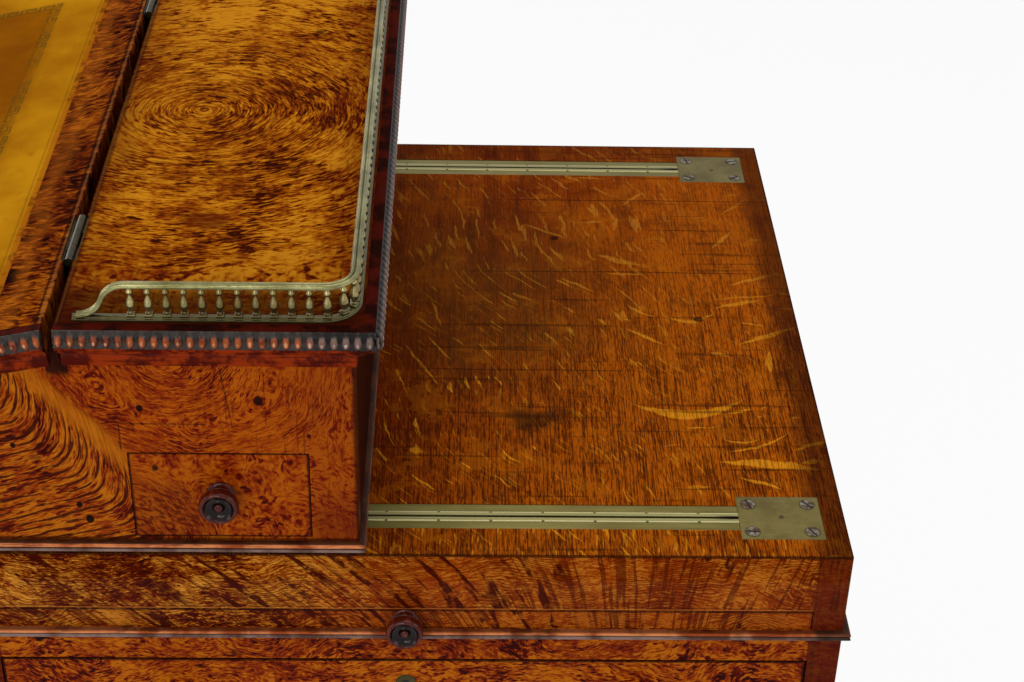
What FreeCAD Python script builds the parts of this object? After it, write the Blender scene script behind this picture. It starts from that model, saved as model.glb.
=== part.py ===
"""Davenport desk: a writing box that slides on brass tracks over a pedestal of side drawers.

Millimetres, +Z up.  +X is the side where the real drawers open, -Y is the sitter's side.
The origin is on the floor, under the middle of the desk as it stands with the box drawn out.
"""
import FreeCAD, Part
import math
import os

import Sketcher

Vector = FreeCAD.Vector
X_AXIS = Vector(1, 0, 0)
Y_AXIS = Vector(0, 1, 0)
Z_AXIS = Vector(0, 0, 1)

doc = FreeCAD.newDocument("davenport_desk")
sheet = doc.addObject("Spreadsheet::Sheet", "Sizes")
nodes = []

# ---------------------------------------------------------------- driving dimensions
SIZES = [
    # pedestal
    ("base_width", 513, "pedestal, left to right"),
    ("base_depth", 540, "pedestal, front to back"),
    ("base_height", 680, "floor to the top of the pedestal"),
    ("base_top_thickness", 20, "oak top board that carries the tracks"),
    ("frieze_depth", 43, "top surface down to the mouth of the pull-out slide"),
    ("slide_mouth", 15, "height of the mouth of the pull-out slide"),
    ("waist_rail_height", 26, "rail between the slide and the first drawer"),
    ("wall", 19.5, "front and back walls of the pedestal"),
    ("divider", 12, "dust board between two drawers"),
    ("panel_stile", 58, "frame round the sunk panel of a wall"),
    ("panel_sink", 5, "depth of that sunk panel"),
    ("waist_reed_out", 6, "waist moulding, how far it stands out"),
    ("waist_reed_height", 9.6, "waist moulding, its height"),
    ("plinth_height", 50, "plinth board"),
    ("plinth_board", 20, "plinth board, its thickness under the wall"),
    ("plinth_out", 8, "how far the plinth stands out"),
    ("plinth_block", 64, "corner block inside the plinth"),
    ("foot_height", 55, "turned bun foot"),
    ("foot_radius", 37, "widest part of the foot"),
    ("foot_sole", 22, "radius of the flat sole"),
    ("foot_neck", 24, "radius of the neck under the plinth"),
    ("foot_step", 3, "step from the belly of a foot in to its neck"),
    ("foot_inset", 46, "centre of a foot from the pedestal's edges"),
    # drawers of the pedestal
    ("drawer_count", 4, "real drawers on the right"),
    ("first_drawer", 98, "height of the first opening"),
    ("drawer_growth", 8, "how much higher each next opening is"),
    ("drawer_gap", 1.2, "gap round a drawer front"),
    ("run_gap", 0.4, "running gap under and beside what slides"),
    ("front_thickness", 19, "drawer front"),
    ("drawer_side", 9, "drawer side and back"),
    ("drawer_bottom", 6, "drawer bottom"),
    ("drawer_length", 470, "drawer, front face to back"),
    ("side_drop", 12, "how far a drawer's sides stay below its front"),
    ("left_core", 11, "board behind the dummy fronts"),
    ("dummy_thickness", 16, "dummy drawer front"),
    ("dummy_gap", 0.4, "gap round a dummy front"),
    ("knob_spread", 290, "between the two knobs of a drawer"),
    ("knob_radius", 16, "drawer knob"),
    ("small_knob_radius", 10.5, "knob of the slide and of the pen drawer"),
    ("tiny_knob_radius", 6.5, "knob of an inner drawer"),
    ("lock_gap", 0.15, "clearance round a lock case in its mortise"),
    ("lock_width", 56, "drawer lock case"),
    ("lock_height", 34, "drawer lock case"),
    ("lock_depth", 9, "drawer lock case"),
    ("key_drop", 20, "keyhole below the top of a drawer front"),
    ("keyhole_radius", 2.2, "keyhole"),
    # pull-out slide
    ("slide_thickness", 14, "pull-out slide"),
    ("slide_length", 440, "pull-out slide, front to back of its board"),
    # tracks, end plates and runners
    ("track_inset", 37.1, "centre of a track from the pedestal's side"),
    ("track_width", 23.8, "brass track"),
    ("track_depth", 9.5, "brass track"),
    ("track_lip", 2.5, "thickness of its two lips"),
    ("track_floor", 1.5, "thickness of its floor"),
    ("slot_width", 2, "slot between the lips"),
    ("rib_width", 8.5, "low rib of a track, which the slot divides"),
    ("rib_height", 0.4, "how far the rib stands over the flanges beside it"),
    ("slot_room", 15, "width inside the track"),
    ("track_front", 12, "front end of a track from the pedestal's front"),
    ("plate_length", 51.5, "end plate, along the track"),
    ("plate_width", 41.3, "end plate, across the track"),
    ("plate_thickness", 2.6, "end plate"),
    ("plate_back", 14.1, "end plate from the pedestal's back"),
    ("stop_gap", 0.6, "runner from its stops"),
    # writing box
    ("box_travel", 293, "how far the writing box slides"),
    ("box_lift", 0.4, "running gap under the writing box"),
    ("box_reed_out", 3.7, "moulding round the foot of the box"),
    ("box_reed_height", 7, "moulding round the foot of the box"),
    ("box_height", 166, "pedestal top to the flat top of the box"),
    ("box_side", 16, "sides, back and front of the box"),
    ("box_bottom", 10, "bottom of the box"),
    ("lid_thickness", 20, "flat top and sloping lid"),
    ("lid_clearance", 0.3, "lid above the box sides"),
    ("flat_depth", 163.5, "flat top, back of the box to the hinge gap"),
    ("hinge_gap", 6.5, "gap between the flat top and the lid"),
    ("slope_degrees", 12, "slope of the lid"),
    ("board_out", 6, "how far the top boards stand over the sides"),
    ("cornice_out", 17.5, "cornice of the tops, how far it stands out"),
    ("cornice_height", 33, "cornice of the tops, with its bead"),
    ("bead_height", 14.5, "bead at the top of the cornice"),
    ("bead_crown", 4.5, "how far the bead swells out"),
    # leather
    ("leather_thickness", 1.2, "writing leather"),
    ("leather_back", 30.5, "leather from the hinge end of the lid"),
    ("leather_margin", 34, "leather from the sides and the front of the lid"),
    # hinges
    ("hinge_place", 168, "centre of a hinge from the middle"),
    ("hinge_width", 50, "hinge, along its pin"),
    ("hinge_drop", 2.2, "hinge axis below the top surface"),
    ("knuckle_radius", 2.7, "hinge knuckle"),
    ("pin_radius", 1.2, "hinge pin"),
    ("pin_gap", 0.05, "running gap round the pin"),
    ("knuckle_gap", 0.3, "gap between two knuckles"),
    ("leaf_height", 15, "hinge leaf, down the edge of the board"),
    ("leaf_thickness", 1.2, "hinge leaf"),
    # gallery
    ("gallery_inset", 16.5, "middle of the gallery from the edge of the cornice"),
    ("gallery_width", 7, "width of its rails"),
    ("gallery_height", 24, "flat top to the top of the gallery"),
    ("gallery_rail", 3.6, "thickness of the top rail"),
    ("gallery_foot", 2.5, "thickness of the bottom rail"),
    ("gallery_corner", 24, "corner radius of its plan"),
    ("gallery_tip", 152.5, "front tip of the gallery from the back of the box"),
    ("scroll_length", 32, "length of the scrolled end"),
    ("baluster_pitch", 9.6, "between two balusters"),
    ("baluster_radius", 2.1, "belly of a baluster"),
    # pen drawer in the side of the box
    ("pen_back", 28.2, "pen drawer from the back of the box"),
    ("pen_width", 104, "pen drawer front"),
    ("pen_height", 61.4, "pen drawer front"),
    ("pen_bottom", 10.8, "pen drawer front above the pedestal top"),
    ("pen_gap", 0.5, "gap round the pen drawer front"),
    ("pen_length", 190, "pen drawer, front face to back"),
    ("pen_board", 6, "boards of the pen drawer"),
    # inner drawers and pigeon holes
    ("inner_board", 6, "boards of the inner fitting"),
    ("inner_setback", 12, "fitting behind the hinge gap"),
    ("shelf_height", 76, "lower shelf above the pedestal top"),
    ("inner_drawer_height", 39, "inner drawer"),
    ("inner_drawer_board", 5, "boards of an inner drawer"),
]
for row, (name, value, note) in enumerate(SIZES, start=1):
    sheet.set(f"A{row}", name)
    sheet.set(f"B{row}", str(value))
    sheet.set(f"C{row}", note)
    sheet.setAlias(f"B{row}", name)
doc.recompute()


class Size:
    """A length in millimetres, written as an expression in the cells of the sheet."""

    def __init__(self, text):
        self.text = str(text)

    def __str__(self):
        return self.text

    def __float__(self):
        return float(sheet.evalExpression(self.text))

    def __add__(self, other):
        return Size(f"({self} + {other})")

    def __radd__(self, other):
        return Size(f"({other} + {self})")

    def __sub__(self, other):
        return Size(f"({self} - {other})")

    def __rsub__(self, other):
        return Size(f"({other} - {self})")

    def __mul__(self, other):
        return Size(f"({self} * {other})")

    def __rmul__(self, other):
        return Size(f"({other} * {self})")

    def __truediv__(self, other):
        return Size(f"({self} / {other})")

    def __neg__(self):
        return Size(f"(0 - {self})")


class Cells:
    """The sheet's aliases as attributes, each one a Size."""

    def __getattr__(self, name):
        return Size(f"Sizes.{name}")


S = Cells()


def sine(angle):
    """Sine of an angle in degrees."""
    return Size(f"sin({angle} * 1 deg)")


def cosine(angle):
    """Cosine of an angle in degrees."""
    return Size(f"cos({angle} * 1 deg)")


# ---------------------------------------------------------------- building helpers
def keep(thing, label):
    """Make a finished object one of the desk's sub-parts."""
    thing.Label = label
    nodes.append(thing)
    return thing


def place(thing, x=0, y=0, z=0, axis=None, degrees=0):
    """Put an object at a point, turned round one axis, with the point bound to the sheet."""
    turn = FreeCAD.Rotation(axis, float(degrees)) if axis else FreeCAD.Rotation()
    thing.Placement = FreeCAD.Placement(Vector(float(x), float(y), float(z)), turn)
    for letter, value in (("x", x), ("y", y), ("z", z)):
        thing.setExpression(f".Placement.Base.{letter}", str(value))
    if isinstance(degrees, Size):
        thing.setExpression(".Placement.Rotation.Angle", str(degrees))
    return thing


def board(name, x, y, z):
    """A board between two planes each way."""
    box = doc.addObject("Part::Box", name)
    box.setExpression("Length", str(x[1] - x[0]))
    box.setExpression("Width", str(y[1] - y[0]))
    box.setExpression("Height", str(z[1] - z[0]))
    return place(box, x[0], y[0], z[0])


def rod(name, start, radius, length, axis=Z_AXIS, degrees=0):
    """A round bar from a start point, upright unless it is turned round an axis."""
    bar = doc.addObject("Part::Cylinder", name)
    bar.setExpression("Radius", str(radius))
    bar.setExpression("Height", str(length))
    return place(bar, *start, axis, degrees)


def rod_along_x(name, start, radius, length):
    """A round bar that runs towards +X."""
    return rod(name, start, radius, length, Y_AXIS, 90)


def fused(name, things):
    """Several solids as one."""
    joined = doc.addObject("Part::MultiFuse", name)
    joined.Shapes = things
    return joined


def grouped(name, things):
    """Separate solids that share one sub-part."""
    group = doc.addObject("Part::Compound", name)
    group.Links = things
    return group


def cut(name, base, tools):
    """A solid less one tool or a list of tools."""
    result = doc.addObject("Part::Cut", name)
    result.Base = base
    result.Tool = tools if not isinstance(tools, list) else grouped(name + "_tools", tools)
    return result


def copy_of(name, source, x, y, z, axis=None, degrees=0):
    """A linked copy of a master piece at another place."""
    link = doc.addObject("App::Link", name)
    link.LinkedObject = source
    return place(link, x, y, z, axis, degrees)


def body(name):
    return doc.addObject("PartDesign::Body", name)


def sketch_on(owner, role, name, offset=0):
    """A sketch on one of the body's own origin planes, moved along that plane's normal."""
    sketch = owner.newObject("Sketcher::SketchObject", name)
    plane = next(f for f in owner.Origin.OriginFeatures if f.Role == role)
    sketch.AttachmentSupport = (plane, [""])
    sketch.MapMode = "FlatFace"
    if isinstance(offset, Size):
        sketch.AttachmentOffset.Base.z = float(offset)
        sketch.setExpression(".AttachmentOffset.Base.z", str(offset))
    return sketch


def arc_between(start, end, radius, side):
    """The short arc of a radius between two points, run counter-clockwise.

    Side +1 bulges to the left of the way from start to end, so it is run from end to start.
    """
    chord = end - start
    half = chord.Length / 2
    left = Vector(-chord.y, chord.x, 0).normalize()
    sagitta = radius - math.sqrt(max(radius * radius - half * half, 0))
    middle = (start + end) / 2 + left * sagitta * side
    if side > 0:
        return Part.Arc(end, middle, start)
    return Part.Arc(start, middle, end)


def outline(sketch, points, closed=True):
    """Lines and arcs through points, every point bound to the sheet.

    A point is (u, v) or (u, v, radius, side); the last two bend the edge that leaves it.
    """
    spots = [Vector(float(p[0]), float(p[1]), 0) for p in points]
    count = len(points) if closed else len(points) - 1
    for index in range(count):
        start = spots[index]
        end = spots[(index + 1) % len(points)]
        if len(points[index]) > 2:
            bend = arc_between(start, end, float(points[index][2]), points[index][3])
            sketch.addGeometry(bend, False)
        else:
            sketch.addGeometry(Part.LineSegment(start, end), False)
    ends = {}
    for index in range(count):
        backwards = len(points[index]) > 2 and points[index][3] > 0
        ends[index] = (2, 1) if backwards else (1, 2)
    for index in range(count if closed else count - 1):
        follower = (index + 1) % count
        tie = Sketcher.Constraint("Coincident", index, ends[index][1], follower, ends[follower][0])
        sketch.addConstraint(tie)
    for index, point in enumerate(points):
        edge, end = (index, ends[index][0]) if index < count else (count - 1, ends[count - 1][1])
        for kind, value in (("DistanceX", point[0]), ("DistanceY", point[1])):
            number = sketch.addConstraint(Sketcher.Constraint(kind, -1, 1, edge, end, float(value)))
            if isinstance(value, Size):
                sketch.renameConstraint(number, f"point{index}{kind[-1]}")
                sketch.setExpression(f".Constraints.point{index}{kind[-1]}", str(value))
    for index, point in enumerate(points[:count]):
        if len(point) > 2:
            number = sketch.addConstraint(Sketcher.Constraint("Radius", index, float(point[2])))
            if isinstance(point[2], Size):
                sketch.renameConstraint(number, f"radius{index}")
                sketch.setExpression(f".Constraints.radius{index}", str(point[2]))
    return sketch


def rectangle(sketch, u, v):
    """A rectangle between two values each way."""
    return outline(sketch, [(u[0], v[0]), (u[1], v[0]), (u[1], v[1]), (u[0], v[1])])


def pad(owner, sketch, length, both_ways=False, reverse=False):
    feature = owner.newObject("PartDesign::Pad", sketch.Name + "_pad")
    feature.Profile = sketch
    feature.setExpression("Length", str(length))
    feature.Midplane = both_ways
    feature.Reversed = reverse
    return feature


def pocket(owner, sketch, depth, reverse=False):
    feature = owner.newObject("PartDesign::Pocket", sketch.Name + "_pocket")
    feature.Profile = sketch
    feature.setExpression("Length", str(depth))
    feature.Reversed = reverse
    return feature


def turned(owner, sketch):
    """A turning round the sketch's own upright axis."""
    feature = owner.newObject("PartDesign::Revolution", sketch.Name + "_turning")
    feature.Profile = sketch
    feature.ReferenceAxis = (sketch, ["V_Axis"])
    feature.Angle = 360
    return feature


def swept(owner, profile, path, mitred=False):
    """A profile carried along a path, with mitred or tangent corners."""
    feature = owner.newObject("PartDesign::AdditivePipe", profile.Name + "_run")
    feature.Profile = profile
    feature.Spine = path
    feature.Transition = "Right corner" if mitred else "Transformed"
    return feature


# ---------------------------------------------------------------- shared planes
right = S.base_width / 2
bead_swell = (S.bead_crown * S.bead_crown + S.bead_height * S.bead_height / 4) / (2 * S.bead_crown)
lid_foot_out = S.cornice_height * sine(S.slope_degrees) + S.lid_clearance
bead_reach = cosine(S.slope_degrees) * (S.cornice_out - bead_swell) + bead_swell
front_reach = (S.box_travel + S.base_depth - S.box_reed_out + lid_foot_out + bead_reach
               - sine(S.slope_degrees) * S.bead_height / 2)
base_back = (front_reach - S.plinth_out) / 2
base_front = base_back - S.base_depth
top = S.base_height
mouth_top = top - S.frieze_depth
mouth_floor = mouth_top - S.slide_mouth
first_opening_top = mouth_floor - S.waist_rail_height
plinth_top = S.foot_height + S.plinth_height
inner_front = base_front + S.wall
inner_back = base_back - S.wall
drawer_room_left = -right + S.left_core + S.dummy_thickness
middle_y = (base_front + base_back) / 2

box_right = right - S.box_reed_out
box_back = base_back - S.box_travel - S.box_reed_out
box_front = box_back - (S.base_depth - 2 * S.box_reed_out)
box_floor = top + S.box_lift
box_inner_floor = box_floor + S.box_bottom
flat_top = top + S.box_height
flat_under = flat_top - S.lid_thickness
flat_edge = box_back - S.flat_depth
lid_edge = flat_edge - S.hinge_gap
hinge_y = flat_edge - S.hinge_gap / 2
hinge_z = flat_top - S.hinge_drop


def lid_surface(y, below=0):
    """Height over a place y of the plane that lies a distance below the lid's surface."""
    fall = (lid_edge - y) * sine(S.slope_degrees) / cosine(S.slope_degrees)
    return flat_top - fall - below / cosine(S.slope_degrees)


# ---------------------------------------------------------------- turned masters
KNOB_FLAT_COUNT = 10
FOOT_FLAT_COUNT = 20


def flats(radius, count):
    """Corners of a regular outline: a turning on a few flats, so that its many copies stay light."""
    step = 360 / count
    return [(radius * cosine(step * turn), radius * sine(step * turn)) for turn in range(count)]


def drum(owner, name, radius, count, low, height):
    """One turned band of a master, from a low level upwards."""
    sketch = sketch_on(owner, "XY_Plane", name, Size(low))
    outline(sketch, flats(radius, count))
    return pad(owner, sketch, height)


def bevel_rims(owner, name, size, *levels):
    """A bevel of the rims that lie at some levels of the master."""
    doc.recompute()
    last = owner.Tip
    rims = [
        f"Edge{number}" for number, edge in enumerate(last.Shape.Edges, start=1)
        if any(all(abs(corner.Z - float(level)) < 1e-4 for corner in edge.Vertexes)
               for level in levels)]
    bevel = owner.newObject("PartDesign::Chamfer", name)
    bevel.Base = (last, rims)
    bevel.setExpression("Size", str(size))
    return bevel


def knob_master(name, radius):
    """A knob that points to +Z: a head on flats with bevelled rims, a collar, a neck and a dish."""
    owner = body(name)
    head_low = radius * 0.75
    head_high = radius * 1.65
    drum(owner, name + "_head", radius, KNOB_FLAT_COUNT, head_low, head_high - head_low)
    bevel_rims(owner, name + "_under", radius * 0.4, head_low)
    bevel_rims(owner, name + "_rim", radius * 0.2, head_high)
    drum(owner, name + "_neck", radius * 0.46, KNOB_FLAT_COUNT, 0, head_low)
    drum(owner, name + "_collar", radius * 0.7, KNOB_FLAT_COUNT, 0, radius * 0.2)
    dish = sketch_on(owner, "XY_Plane", name + "_dish", head_high)
    outline(dish, flats(radius * 0.58, KNOB_FLAT_COUNT))
    pocket(owner, dish, radius * 0.15)
    return owner


knob_large = knob_master("knob_large", S.knob_radius)
knob_small = knob_master("knob_small", S.small_knob_radius)
knob_tiny = knob_master("knob_tiny", S.tiny_knob_radius)


def knob_at(name, master, x, y, z, towards):
    """A knob whose base sits on a face at a point and which points to +X, -X or -Y."""
    turns = {"+X": (Y_AXIS, 90), "-X": (Y_AXIS, -90), "-Y": (X_AXIS, 90)}
    return copy_of(name, master, x, y, z, *turns[towards])


# ---------------------------------------------------------------- pedestal: tracks and plates
def track_middle(side):
    return side * (right - S.track_inset)


plate_back = base_back - S.plate_back
plate_front = plate_back - S.plate_length
track_start = base_front + S.track_front
sides = (("right", 1), ("left", -1))


def track(name, side):
    """A brass channel let in flush: two flanges, and between them a rib with a narrow slot."""
    owner = body(name + "_body")
    sketch = sketch_on(owner, "XZ_Plane", name + "_section")
    half = S.track_width / 2
    room = S.slot_room / 2
    slot = S.slot_width / 2
    rib = S.rib_width / 2
    outline(sketch, [
        (-half, -S.track_depth), (half, -S.track_depth), (half, -S.rib_height),
        (rib + S.rib_height, -S.rib_height), (rib, 0), (slot, 0), (slot, -S.track_lip),
        (room, -S.track_lip), (room, S.track_floor - S.track_depth),
        (-room, S.track_floor - S.track_depth), (-room, -S.track_lip), (-slot, -S.track_lip),
        (-slot, 0), (-rib, 0), (-rib - S.rib_height, -S.rib_height), (-half, -S.rib_height)])
    pad(owner, sketch, plate_front - track_start, reverse=True)
    return place(owner, track_middle(side), track_start, top)


tracks = [track(f"track_{word}", side) for word, side in sides]
keep(grouped("tracks", tracks), "slide_tracks")


def end_plate(name, side):
    """A flush brass plate; it stops the runner at the end of its track."""
    middle = track_middle(side)
    half = S.plate_width / 2
    return board(name, (middle - half, middle + half), (plate_front, plate_back),
                 (top - S.plate_thickness, top))


plates = [end_plate(f"plate_{word}", side) for word, side in sides]
keep(grouped("plates", plates), "end_plates")

# ---------------------------------------------------------------- pedestal: top and frieze
top_blank = board("top_blank", (-right, right), (base_front, base_back),
                  (top - S.base_top_thickness, top))
recesses = []
for word, side in sides:
    middle = track_middle(side)
    half = S.track_width / 2
    recesses.append(board(f"track_recess_{word}", (middle - half, middle + half),
                          (track_start, plate_front), (top - S.track_depth, top)))
    half = S.plate_width / 2
    recesses.append(board(f"plate_recess_{word}", (middle - half, middle + half),
                          (plate_front, plate_back), (top - S.plate_thickness, top)))
keep(cut("top_cut", top_blank, recesses), "base_top")

frieze_blank = board("frieze_blank", (-right, right), (base_front, base_back),
                     (mouth_top, top - S.base_top_thickness))
frieze_room = board("frieze_room", (drawer_room_left, right - S.front_thickness),
                    (inner_front, inner_back), (mouth_top, top - S.base_top_thickness))
keep(cut("frieze_cut", frieze_blank, frieze_room), "frieze_rails")


# ---------------------------------------------------------------- pedestal: walls
def wall_panel(name, outer, inner):
    """A full-height wall with one sunk panel on its outer face."""
    blank = board(name + "_blank", (-right, right), (outer, inner) if outer is base_front
                  else (inner, outer), (plinth_top, mouth_top))
    reach = right - S.panel_stile
    low = plinth_top + S.panel_stile
    high = mouth_floor - S.panel_stile
    if outer is base_front:
        depth = (outer, outer + S.panel_sink)
    else:
        depth = (outer - S.panel_sink, outer)
    sunk = board(name + "_sunk", (-reach, reach), depth, (low, high))
    return cut(name + "_cut", blank, sunk)


keep(wall_panel("front_wall", base_front, inner_front), "front_panel")
keep(wall_panel("back_wall", base_back, inner_back), "back_panel")


# ---------------------------------------------------------------- pedestal: drawer openings
def opening_top(index):
    """Top of a drawer opening; each is higher than the one above it."""
    above = S.first_drawer * index + S.drawer_growth * (index * (index - 1) / 2)
    return first_opening_top - above - S.divider * index


def opening_bottom(index):
    """Floor of a drawer opening; the last one reaches the bottom board."""
    if index == DRAWERS - 1:
        return plinth_top + S.divider
    return opening_top(index + 1) + S.divider


DRAWERS = int(float(S.drawer_count))
room_x = (drawer_room_left, right)
room_y = (inner_front, inner_back)

boards = []
for index in range(DRAWERS):
    floor = opening_bottom(index)
    boards.append(board(f"dust_board_{index + 1}", room_x, room_y, (floor - S.divider, floor)))
keep(grouped("boards", boards), "dust_boards")

waist_blank = board("waist_blank", room_x, room_y, (first_opening_top, mouth_floor))
waist_room = board("waist_room", (drawer_room_left, right - S.front_thickness), room_y,
                   (first_opening_top, mouth_floor - S.divider))
keep(cut("waist_cut", waist_blank, waist_room), "waist_rail")

left_blank = board("left_blank", (-right, drawer_room_left), room_y, (plinth_top, mouth_top))
left_pockets = []
dummies = []
dummy_knobs = []
dummy_face = -right
for index in range(DRAWERS):
    high = opening_top(index)
    low = opening_bottom(index)
    left_pockets.append(board(f"dummy_seat_{index + 1}", (-right, -right + S.dummy_thickness),
                              room_y, (low, high)))
    inset = S.dummy_gap
    dummies.append(board(f"dummy_front_{index + 1}", (dummy_face, dummy_face + S.dummy_thickness),
                         (inner_front + inset, inner_back - inset), (low + inset, high - inset)))
    for number, across in enumerate((-1, 1)):
        spot = (dummy_face, middle_y + across * S.knob_spread / 2, (low + high) / 2)
        dummy_knobs.append(knob_at(f"dummy_knob_{index + 1}_{number}", knob_large, *spot, "-X"))
keep(cut("left_cut", left_blank, left_pockets), "left_side")
keep(grouped("dummies", dummies), "dummy_fronts")
keep(grouped("dummy_knob_set", dummy_knobs), "dummy_knobs")


# ---------------------------------------------------------------- pedestal: mouldings and feet
def reed_ring(name, half_x, half_y, out, height, middle, z):
    """A double-reed moulding mitred round a rectangle."""
    owner = body(name + "_body")
    path = sketch_on(owner, "XY_Plane", name + "_path")
    rectangle(path, (-half_x, half_x), (-half_y, half_y))
    profile = sketch_on(owner, "XZ_Plane", name + "_section")
    reed = height / 2
    round_of_reed = reed * 0.54
    root = half_x + out - reed * 0.34
    outline(profile, [
        (half_x, 0), (root, 0, round_of_reed, -1), (root, reed, round_of_reed, -1),
        (root, height), (half_x, height)])
    swept(owner, profile, path, mitred=True)
    return place(owner, 0, middle, z)


waist_moulding = reed_ring("waist_moulding", right, S.base_depth / 2, S.waist_reed_out,
                           S.waist_reed_height, middle_y, mouth_floor - S.waist_reed_height)
keep(waist_moulding, "waist_moulding")


def plinth():
    """A moulded plinth mitred round the pedestal, with a block in each corner for the feet."""
    owner = body("plinth_body")
    half_x = right
    half_y = S.base_depth / 2
    path = sketch_on(owner, "XY_Plane", "plinth_path")
    rectangle(path, (-half_x, half_x), (-half_y, half_y))
    profile = sketch_on(owner, "XZ_Plane", "plinth_section")
    cove = S.plinth_out
    outline(profile, [
        (half_x - S.plinth_board, 0), (half_x + S.plinth_out, 0),
        (half_x + S.plinth_out, S.plinth_height - cove, cove, 1),
        (half_x, S.plinth_height), (half_x - S.plinth_board, S.plinth_height)])
    swept(owner, profile, path, mitred=True)
    place(owner, 0, middle_y, S.foot_height)
    blocks = []
    for across in (-1, 1):
        for along in (-1, 1):
            x = sorted_pair(across * (half_x - S.plinth_board / 2),
                            across * (half_x - S.plinth_block), across)
            y = sorted_pair(along * (half_y - S.plinth_board / 2),
                            along * (half_y - S.plinth_block), along)
            blocks.append(board(f"plinth_block_{across}_{along}".replace("-1", "low"), x,
                                (middle_y + y[0], middle_y + y[1]),
                                (S.foot_height, plinth_top)))
    return fused("plinth_fused", [owner] + blocks)


def sorted_pair(far, near, side):
    """Two places in rising order, where far is the one further out on a side."""
    return (near, far) if side > 0 else (far, near)


keep(plinth(), "plinth")


def foot_master():
    """A bun foot on twenty flats: flat sole, belly rounded by two bevels each way, and a neck."""
    owner = body("foot_master")
    belly_top = S.foot_height * 0.82
    under = S.foot_radius - S.foot_sole
    over = S.foot_radius - S.foot_neck - S.foot_step
    drum(owner, "foot_belly", S.foot_radius, FOOT_FLAT_COUNT, 0, belly_top)
    bevel_rims(owner, "foot_under", under, 0)
    bevel_rims(owner, "foot_over", over, belly_top)
    bevel_rims(owner, "foot_round", under * 0.3, under, belly_top - over)
    drum(owner, "foot_neck", S.foot_neck, FOOT_FLAT_COUNT, 0, S.foot_height)
    return owner


foot = foot_master()
feet = []
for across in (-1, 1):
    for along in (-1, 1):
        feet.append(copy_of(f"foot_{across}_{along}".replace("-1", "low"), foot,
                            across * (right - S.foot_inset),
                            middle_y + along * (S.base_depth / 2 - S.foot_inset), 0))
keep(grouped("feet", feet), "bun_feet")


# ---------------------------------------------------------------- pedestal: drawers
def lock(name, face_x, y, key_z, front_thickness):
    """A lock case let into the back of a front."""
    back = face_x - front_thickness
    return board(name + "_case", (back, back + S.lock_depth),
                 (y - S.lock_width / 2, y + S.lock_width / 2),
                 (key_z - S.lock_height / 2, key_z + S.lock_height / 2))


def lock_cuts(name, face_x, y, key_z, front_thickness):
    """The mortise for the lock case and the keyhole."""
    back = face_x - front_thickness
    gap = S.lock_gap
    mortise = board(name + "_mortise", (back, back + S.lock_depth + gap),
                    (y - S.lock_width / 2 - gap, y + S.lock_width / 2 + gap),
                    (key_z - S.lock_height / 2 - gap, key_z + S.lock_height / 2 + gap))
    keyhole = rod_along_x(name + "_keyhole", (back, y, key_z), S.keyhole_radius, front_thickness)
    return [mortise, keyhole]


def pedestal_drawer(index):
    """A drawer: front, box of four boards, two turned knobs and a lock."""
    name = f"drawer_{index + 1}"
    low = opening_bottom(index) + S.run_gap
    high = opening_top(index) - S.drawer_gap
    front_y = (inner_front + S.drawer_gap, inner_back - S.drawer_gap)
    back_x = right - S.front_thickness
    key_z = opening_top(index) - S.key_drop
    blank = board(name + "_blank", (back_x, right), front_y, (low, high))
    tools = lock_cuts(name + "_lock", right, middle_y, key_z, S.front_thickness)
    knobs = []
    for number, across in enumerate((-1, 1)):
        spot = (right, middle_y + across * S.knob_spread / 2, (low + high) / 2)
        knobs.append(knob_at(f"{name}_knob_{number}", knob_large, *spot, "+X"))
    keep(cut(name + "_cut", blank, tools), name + "_front")

    box_x = (right - S.drawer_length, back_x)
    shell = board(name + "_shell", box_x, front_y, (low, high - S.side_drop))
    room = board(name + "_room", (box_x[0] + S.drawer_side, back_x),
                 (front_y[0] + S.drawer_side, front_y[1] - S.drawer_side),
                 (low + S.drawer_bottom, high - S.side_drop))
    keep(cut(name + "_box_cut", shell, room), name + "_box")
    keep(grouped(name + "_knob_set", knobs), name + "_knobs")
    keep(lock(name + "_lock", right, middle_y, key_z, S.front_thickness), name + "_lock")


for index in range(DRAWERS):
    pedestal_drawer(index)

# ---------------------------------------------------------------- pedestal: pull-out slide
slide_floor = mouth_floor + S.run_gap
slide_board = board("slide_board", (right - S.slide_length, right),
                    (inner_front + S.run_gap, inner_back - S.run_gap),
                    (slide_floor, slide_floor + S.slide_thickness))
slide_spot = (right, middle_y, slide_floor + S.slide_thickness / 2)
keep(slide_board, "brushing_slide")
keep(knob_at("slide_knob_copy", knob_small, *slide_spot, "+X"), "slide_knob")


# ---------------------------------------------------------------- writing box: case
def side_outline(sketch):
    """The side of the box: level under the flat top, then falling with the lid."""
    outline(sketch, [
        (box_front, box_floor), (box_back, box_floor), (box_back, flat_under),
        (lid_edge, flat_under), (lid_edge, lid_surface(lid_edge, S.lid_thickness + S.lid_clearance)),
        (box_front, lid_surface(box_front, S.lid_thickness + S.lid_clearance))])


pen_rear = box_back - S.pen_back
pen_y = (pen_rear - S.pen_width, pen_rear)
pen_z = (top + S.pen_bottom, top + S.pen_bottom + S.pen_height)


def box_side(name, side):
    """One side of the box; the right one has the mouth of the pen drawer."""
    owner = body(name + "_body")
    sketch = sketch_on(owner, "YZ_Plane", name + "_outline")
    side_outline(sketch)
    pad(owner, sketch, S.box_side, reverse=side > 0)
    if side > 0:
        mouth = sketch_on(owner, "YZ_Plane", name + "_mouth")
        rectangle(mouth, (pen_y[0] - S.pen_gap, pen_y[1] + S.pen_gap),
                  (pen_z[0] - S.pen_gap, pen_z[1] + S.pen_gap))
        pocket(owner, mouth, S.box_side)
    return place(owner, side * box_right, 0, 0)


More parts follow.
